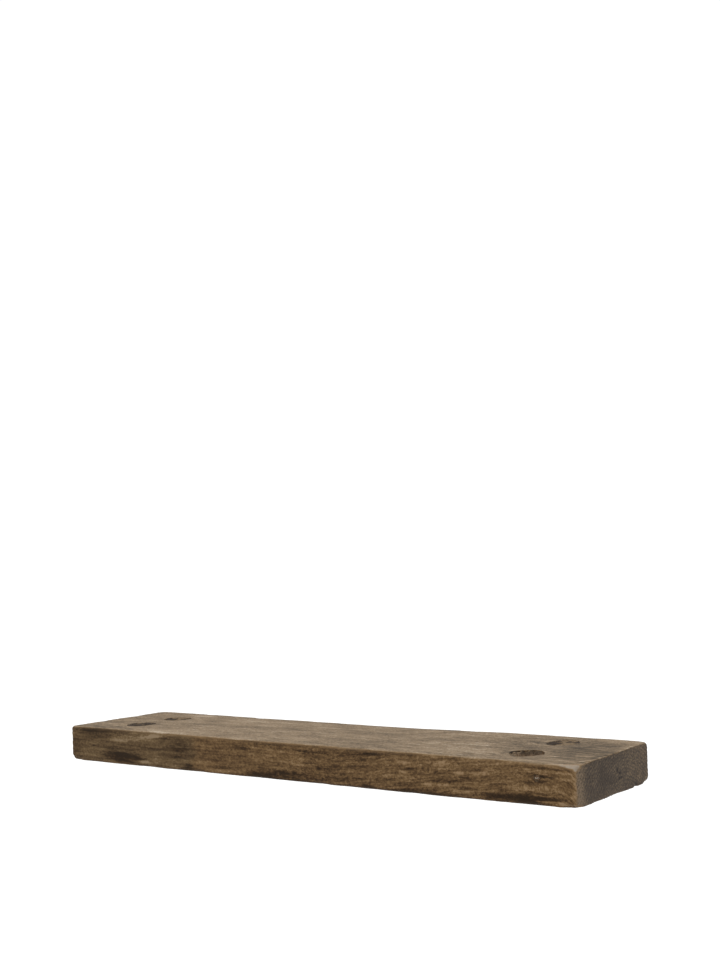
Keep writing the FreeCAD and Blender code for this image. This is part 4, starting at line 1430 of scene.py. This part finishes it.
class SHELF_OT_nail(bpy.types.Operator):
    """Make the snapped nail in the front edge"""

    bl_idname = "shelf.nail"
    bl_label = "Nail"

    def execute(self, context):
        points, faces = self.shape()
        piece = solid("snapped_nail", (points, faces))
        # The bare mask is bare iron and a painted glint on the snapped face.
        write_attribute(piece.data, "bare", self.bare(points))
        finish = rusty_iron(context.scene.shelf_steel)
        put_in_place(piece, "old_nail", "board", "rusty_iron", finish)
        return {"FINISHED"}

    def shape(self):
        """A nail with a worn head, a thinner shaft and a rough face where it snapped."""
        face, point = span_of("old_nail")
        radius = radius_of("old_nail")
        neck = radius * 0.70
        profile = [
            (face + 0.25 * MM, 0.12 * MM),
            (face + 0.05 * MM, radius * 0.55),
            (face + 0.12 * MM, radius * 0.88),
            (face + 0.40 * MM, radius),
            (face + 1.00 * MM, radius * 0.96),
            (face + 1.35 * MM, neck),
            (point - 4 * MM, neck * 0.98),
            (point - 0.3 * MM, 0.25 * MM),
            (point, 0.08 * MM),
        ]
        noise = Noise(31)

        def ripple(place, angle):
            waves = skin_noise(noise, place / MM, angle, (0.5, 0.9, 0.5))
            return 0.12 * MM * waves * ease(place, face, face + 0.5 * MM)

        middle = middle_of("old_nail")
        points, faces = turned(dense(profile, 0.18 * MM), 56, middle, ripple)
        snapped = bump(points[:, 1] - face, 0.35 * MM)
        points[:, 1] += 0.16 * MM * (1.0 + noise(points, 0.9)) * snapped
        return points, faces

    def bare(self, points):
        """Where bare iron shows: a bright streak across the snapped face, which is also a painted
        glint.
        """
        x, z = middle_of("old_nail")
        face = span_of("old_nail")[0]
        streak = np.hypot((points[:, 0] - x) / 2.6, 1.5 * (points[:, 2] - z + 0.4 * MM))
        return bump(points[:, 1] - face, 0.5 * MM) * ease(streak, 1.1 * MM, 0.6 * MM)


# ---------------------------------------------------------------------------------- the bracket


class SHELF_OT_plates(bpy.types.Operator):
    """Make the two wall plates with their countersunk screw holes"""

    bl_idname = "shelf.plates"
    bl_label = "Wall plates"

    # How far in from the edge the rows of points lie, as shares of the plate's height.
    INSETS = (0.96, 0.7, 0.45, 0.25, 0.1, 0.03)

    def execute(self, context):
        steel = context.scene.shelf_steel
        finish = zinc_steel(steel)
        for side in SIDES:
            node = f"wall_plate_{side}"
            low, high = corners_of(node)
            layers = self.layers((low[1] + high[1]) / 2.0, *(high - low), steel)
            name = node.replace("wall_plate", "zinc_plate")
            piece = solid(name, stacked(layers, middle_of(node)))
            cut_away(piece, self.holes(side, low[1], high[1], steel))
            put_in_place(piece, node, "wall_bracket", "zinc_steel", finish)
        return {"FINISHED"}

    def layers(self, middle, length, depth, height, steel):
        """Outlines of a flat bar with round corners and softly rolled edges, front to back."""
        arris = steel.plate_arris
        face = [(depth / 2.0, share * height / 2.0) for share in self.INSETS]
        for turn in np.linspace(0.0, math.pi / 2.0, 6)[::-1]:
            y = depth / 2.0 - arris + arris * math.sin(turn)
            face.append((y, arris * (1 - math.cos(turn))))
        for y, inset in [(-y, inset) for y, inset in face] + face[::-1]:
            corner = max(steel.plate_corner - inset, 0.05 * MM)
            corner = min(corner, (height - 2 * inset) / 2.0)
            inner = (length - 2 * inset, max(height - 2 * inset, 0.2 * MM))
            yield middle + y, rounded_rectangle(*inner, corner, 8)

    def holes(self, side, front, back, steel):
        """Solids that cut the two countersunk holes and the hole for the rod's spigot."""
        past = 1 * MM
        countersunk = [
            (front - past, steel.screw_hole + steel.countersink + past),
            (front + steel.countersink, steel.screw_hole),
            (back + past, steel.screw_hole),
        ]
        for spot in SPOTS:
            yield solid("hole", turned(countersunk, 64, middle_of(f"wall_screw_{side}_{spot}")))
        plain = [(front - past, steel.spigot), (back + past, steel.spigot)]
        yield solid("hole", turned(plain, 64, middle_of(f"support_rod_{side}")))


class SHELF_OT_rods(bpy.types.Operator):
    """Make the two support rods, chamfered and sawn at the tip"""

    bl_idname = "shelf.rods"
    bl_label = "Support rods"

    def execute(self, context):
        steel = context.scene.shelf_steel
        finish = zinc_steel(steel)
        for seed, side in enumerate(SIDES, 41):
            node = f"support_rod_{side}"
            tip, back = span_of(node)
            shoulder = span_of(f"wall_plate_{side}")[0]
            profile = self.profile(tip, shoulder, back, radius_of(node), steel)
            shape = turned(profile, 80, middle_of(node), self.drawn(Noise(seed), tip))
            piece = solid(node.replace("support_rod", "steel_rod"), shape, sharp_angle=35.0)
            put_in_place(piece, node, "wall_bracket", "zinc_steel", finish)
        return {"FINISHED"}

    def profile(self, tip, shoulder, back, radius, steel):
        """A rod with a dimple in its tip, and the thinner spigot that fills the plate's hole."""
        return dense(
            [
                (tip + 0.8 * MM, 0.2 * MM),
                (tip + 0.5 * MM, 0.9 * MM),
                (tip, 1.3 * MM),
                (tip, radius - steel.rod_chamfer),
                (tip + steel.rod_chamfer, radius),
                (shoulder, radius),
                (shoulder, steel.spigot),
                (back - 0.25 * MM, steel.spigot),
                (back, steel.spigot - 0.35 * MM),
                (back - 0.05 * MM, 1.6 * MM),
                (back - 0.12 * MM, 0.2 * MM),
            ],
            0.9 * MM,
        )

    def drawn(self, noise, tip):
        """Fine drawing marks along the rod, all inside its radius."""

        def ripple(place, angle):
            marks = skin_noise(noise, place * 12, angle, (0.16, 1, 0.16))
            return -0.02 * MM * (1.0 + marks) * ease(place, tip + 1 * MM, tip + 3 * MM)

        return ripple


class SHELF_OT_welds(bpy.types.Operator):
    """Make the ring of weld between each rod and its plate"""

    bl_idname = "shelf.welds"
    bl_label = "Welds"

    RIPPLES = 30
    AROUND = 360

    def execute(self, context):
        steel = context.scene.shelf_steel
        finish = weld_steel(steel)
        for seed, side in enumerate(SIDES, 51):
            node = f"weld_{side}"
            name = node.replace("weld", "weld_bead")
            rows = self.rows(node, steel.weld_leg, Noise(seed))
            piece = solid(name, looped_rows(rows), sharp_angle=60.0)
            put_in_place(piece, node, "wall_bracket", "weld_steel", finish)
        return {"FINISHED"}

    def rows(self, node, leg, noise):
        """A ring of overlapping ripples, like a leaning stack of coins."""
        x, z = middle_of(node)
        inner = radius_of(node) - leg
        plate = span_of(node)[1]
        angle = np.arange(self.AROUND)[:, None] * TURN / self.AROUND
        sweep = np.linspace(0.0, 1.0, 15)[None, :] * math.pi / 2.0
        lag = 1.3 * np.cos(sweep - math.pi / 4.0) ** 2
        phase = (angle * self.RIPPLES / TURN + lag) % 1.0
        spots = np.column_stack([np.cos(angle), np.sin(angle), angle * 0])
        uneven = noise(spots * 8 * MM, 2)[:, None]
        ripple = 0.16 * MM * (phase - 0.5) + 0.14 * MM * uneven - 0.22 * MM
        flat = 0.72 + 0.28 * np.abs(np.cos(2.0 * sweep))
        reach = (leg + ripple * np.sin(2.0 * sweep)) * flat
        out = np.hstack([inner + reach * np.sin(sweep), np.full_like(angle, inner)])
        depth = np.hstack([plate - reach * np.cos(sweep), np.full_like(angle, plate)])
        return np.stack([x + out * np.cos(angle), depth, z + out * np.sin(angle)], -1)


# ---------------------------------------------------------------------------------- the fixings


def fixings(kind):
    """The four nodes of one kind of fixing."""
    return [f"{kind}_{side}_{spot}" for side in SIDES for spot in SPOTS]


class SHELF_OT_screws(bpy.types.Operator):
    """Make the four countersunk screws with real threads and cross slots"""

    bl_idname = "shelf.screws"
    bl_label = "Wall screws"

    THREAD_FROM = 9 * MM

    # How far the first screw is turned, and each next one further, in degrees.
    FIRST_TURN, NEXT_TURN = 20, 37

    # The cross slot's blades, in mm: depth and length above the mouth, at it and at the bottom,
    # then their width and the radius of their edges.
    SLOT = ((-1.0, 5.6), (0.0, 5.0), (1.8, 2.4))
    BLADE = (1.1 * MM, 0.3 * MM)

    def execute(self, context):
        steel = context.scene.shelf_steel
        finish = screw_steel(steel)
        for number, node in enumerate(fixings("wall_screw")):
            face, point = span_of(node)
            middle = middle_of(node)
            profile = self.profile(face, point, radius_of(node), steel)
            shape = turned(profile, 48, middle, self.thread(point, steel))
            piece = solid(node.replace("wall_screw", "zinc_screw"), shape)
            turn = math.radians(self.FIRST_TURN + self.NEXT_TURN * number)
            cut_away(piece, self.cross_slot(face, middle, turn))
            put_in_place(piece, node, "wall_bracket", "screw_steel", finish)
        return {"FINISHED"}

    def profile(self, face, point, head, steel):
        """The screw without its thread: a countersunk head, a neck, a shank, a core and a point."""
        neck, shank, core = steel.screw_neck, steel.screw_shank, steel.screw_core
        start = self.THREAD_FROM
        plain = [
            (face, 0.3 * MM),
            (face, head - 0.15 * MM),
            (face + 0.15 * MM, head),
            (face + 0.35 * MM, head),
            (face + 0.35 * MM + head - neck, neck),
            (-0.2 * MM, neck),
            (0.0, shank),
            (start - 0.5 * MM, shank),
            (start, core),
        ]
        threaded = [(start, core), (point - 7 * MM, core), (point, 0.15 * MM)]
        return np.vstack([dense(plain, 0.4 * MM), dense(threaded, 0.15 * MM)[1:]])

    def thread(self, point, steel):
        """The thread that winds round the core and fades towards the point."""
        start, pitch = self.THREAD_FROM, steel.screw_pitch
        rise = steel.screw_crest - steel.screw_core

        def ripple(place, angle):
            turns = (place - start) / pitch - angle / TURN
            away = np.abs((turns % 1.0) - 0.5) * pitch
            crest = ease(away, 0.75 * MM, 0.10 * MM)
            begins = ease(place, start, start + pitch)
            ends = ease(place, point, point - 8 * MM)
            return rise * crest * begins * (0.25 + 0.75 * ends) * (place > start)

        return ripple

    def cross_slot(self, face, middle, turn):
        """Two crossing blades that cut the cross slot in the head."""
        layers = []
        for depth, length in self.SLOT:
            outline = rounded_rectangle(length * MM, *self.BLADE, 4)
            layers.append((face + depth * MM, outline))
        for quarter in (0.0, math.pi / 2.0):
            yield solid("blade", stacked(layers, middle, turn + quarter))


class SHELF_OT_plugs(bpy.types.Operator):
    """Make the four ribbed wall plugs, slit so that they can open"""

    bl_idname = "shelf.plugs"
    bl_label = "Wall plugs"

    def execute(self, context):
        plugs = context.scene.shelf_plugs
        finish = plug_nylon(plugs)
        for node in fixings("wall_plug"):
            start, end = span_of(node)
            middle = middle_of(node)
            shape = self.shape(start, end, middle, radius_of(node), plugs)
            piece = solid(node.replace("wall_plug", "nylon_plug"), shape)
            cut_away(piece, self.cuts(start, end, middle, plugs))
            put_in_place(piece, node, "wall_bracket", "plug_nylon", finish)
        return {"FINISHED"}

    def shape(self, start, end, middle, radius, plugs):
        """A body with sharp ribs that lean back, and a plain collar and nose."""
        ribs_from, ribs_to = start + plugs.collar, end - plugs.nose
        profile = [
            (start, 0.4 * MM),
            (start, radius - 0.3 * MM),
            (start + 0.3 * MM, radius),
            (ribs_from, radius),
            (ribs_from, plugs.waist),
            (ribs_to, plugs.waist),
            (end - 0.8 * MM, 3 * MM),
            (end, 2.2 * MM),
            (end, 0.4 * MM),
        ]

        def ripple(place, angle):
            phase = ((place - ribs_from) / plugs.rib_pitch) % 1.0
            rib = ease(phase, 0.15, 0.70) * ease(phase, 0.98, 0.72)
            lobes = 0.78 + 0.22 * np.cos(4.0 * angle)
            within = (place > ribs_from + 0.1 * MM) & (place < ribs_to)
            return (radius - plugs.waist) * rib * lobes * within

        return turned(dense(profile, 0.25 * MM), 64, middle, ripple)

    def cuts(self, start, end, middle, plugs):
        """Solids that cut the bore and the slits."""
        narrow = plugs.bore * 0.72
        bore = [
            (start - 1 * MM, plugs.bore + 0.6 * MM),
            (start + 1 * MM, plugs.bore),
            (end - 2 * MM, narrow),
            (end + 1 * MM, narrow),
        ]
        yield solid("bore", turned(bore, 48, middle))
        slit = rounded_rectangle(plugs.slit_width, 12 * MM, 0.2 * MM, 3)
        first = start + plugs.slit_start
        layers = [(first, slit), (first + plugs.slit_length, slit)]
        for degrees in (45, 135):
            yield solid("slit", stacked(layers, middle, math.radians(degrees)))


# ---------------------------------------------------------------------------------- the studio


class SHELF_OT_stage(bpy.types.Operator):
    """Set up the camera, the pale floor and the soft light"""

    bl_idname = "shelf.stage"
    bl_label = "Studio"

    # In metres.
    FLOOR_HALF = 40.0
    FLOOR_THICKNESS = 0.02
    LAMP_PLACE = (-0.9, -1.6, 1.5)
    LAMP_SIZE = 1.2
    SIGHT = 200.0

    def execute(self, context):
        studio = context.scene.shelf_studio
        self.camera(context, studio)
        self.floor(studio)
        self.sky(context, studio)
        self.key(context, studio)
        context.scene.view_settings.view_transform = "Standard"
        return {"FINISHED"}

    def camera(self, context, studio):
        camera = bpy.data.cameras.new("Camera")
        camera.lens = studio.lens
        camera.clip_end = self.SIGHT
        view = bpy.data.objects.new("Camera", camera)
        turn = Matrix.Rotation(studio.yaw, 4, "Z")
        tilt = Matrix.Rotation(math.pi / 2.0 + studio.pitch, 4, "X")
        lean = Matrix.Rotation(studio.roll, 4, "Z")
        view.matrix_world = Matrix.Translation(studio.camera_place) @ turn @ tilt @ lean
        context.collection.objects.link(view)
        context.scene.camera = view

    def floor(self, studio):
        """A pale floor, far below the shelf."""
        lines = np.linspace(-self.FLOOR_HALF, self.FLOOR_HALF, 9)
        levels = np.array([-self.FLOOR_THICKNESS, 0.0]) - studio.drop
        piece = solid("floor", box_shell(lines, lines, levels))
        r = Recipe("Pale floor")
        cloud = r.noise(r.coordinates(), 0.8, 2)
        tint = r.ramp(cloud, tones(studio.floor_colour, (0.3, 0.99), (0.7, 1.0)))
        piece.data.materials.append(r.finish(Base_Color=tint, Roughness=0.9))

    def sky(self, context, studio):
        """White light, brighter overhead, in front of a plain white backdrop."""
        r = Recipe("Studio", "Background", "worlds")
        up = r.split(r.coordinates("Generated"))[2]
        light = r.smooth(up, 0.10, 0.70, studio.horizon_light, studio.zenith_light)
        seen = r.add("ShaderNodeLightPath", {}, "Is Camera Ray")
        strength = {"Factor": seen, "A": light, "B": studio.backdrop_light}
        strength = r.add("ShaderNodeMix", strength)
        context.scene.world = r.finish(Color=(1.0, 1.0, 1.0), Strength=strength)

    def key(self, context, studio):
        """A big soft lamp, high in front and to the left."""
        light = bpy.data.lights.new("Key", "AREA")
        light.shape = "DISK"
        light.size = self.LAMP_SIZE
        light.energy = studio.key_light
        lamp = bpy.data.objects.new("Key", light)
        lamp.location = self.LAMP_PLACE
        lamp.rotation_mode = "QUATERNION"
        lamp.rotation_quaternion = lamp.location.to_track_quat("Z", "Y")
        context.collection.objects.link(lamp)


class SHELF_PT_pieces(bpy.types.Panel):
    """Lists the shelf's pieces, and the sizes and colours that they use"""

    bl_idname = "SHELF_PT_pieces"
    bl_label = "Floating Wall Shelf"
    bl_space_type = "VIEW_3D"
    bl_region_type = "UI"
    bl_category = "Shelf"

    def draw(self, context):
        layout = self.layout
        for operator in OPERATORS:
            layout.operator(operator.bl_idname)
        for holder, settings in SETTINGS.items():
            box = layout.box()
            box.label(text=settings.__doc__)
            group = getattr(context.scene, holder)
            for name in settings.__annotations__:
                box.prop(group, name)


OPERATORS = (
    SHELF_OT_stage,
    SHELF_OT_plank,
    SHELF_OT_knots,
    SHELF_OT_nail,
    SHELF_OT_plates,
    SHELF_OT_rods,
    SHELF_OT_welds,
    SHELF_OT_screws,
    SHELF_OT_plugs,
)


def register():
    for kind in (*SETTINGS.values(), *OPERATORS, SHELF_PT_pieces):
        bpy.utils.register_class(kind)
    for holder, settings in SETTINGS.items():
        setattr(bpy.types.Scene, holder, bpy.props.PointerProperty(type=settings))


def unregister():
    for holder in SETTINGS:
        delattr(bpy.types.Scene, holder)
    for kind in (SHELF_PT_pieces, *reversed(OPERATORS), *reversed(SETTINGS.values())):
        bpy.utils.unregister_class(kind)


def main():
    register()
    bpy.ops.shelf.stage()
    bpy.ops.shelf.plank()
    bpy.ops.shelf.knots()
    bpy.ops.shelf.nail()
    bpy.ops.shelf.plates()
    bpy.ops.shelf.rods()
    bpy.ops.shelf.welds()
    bpy.ops.shelf.screws()
    bpy.ops.shelf.plugs()


if __name__ == "__main__":
    main()
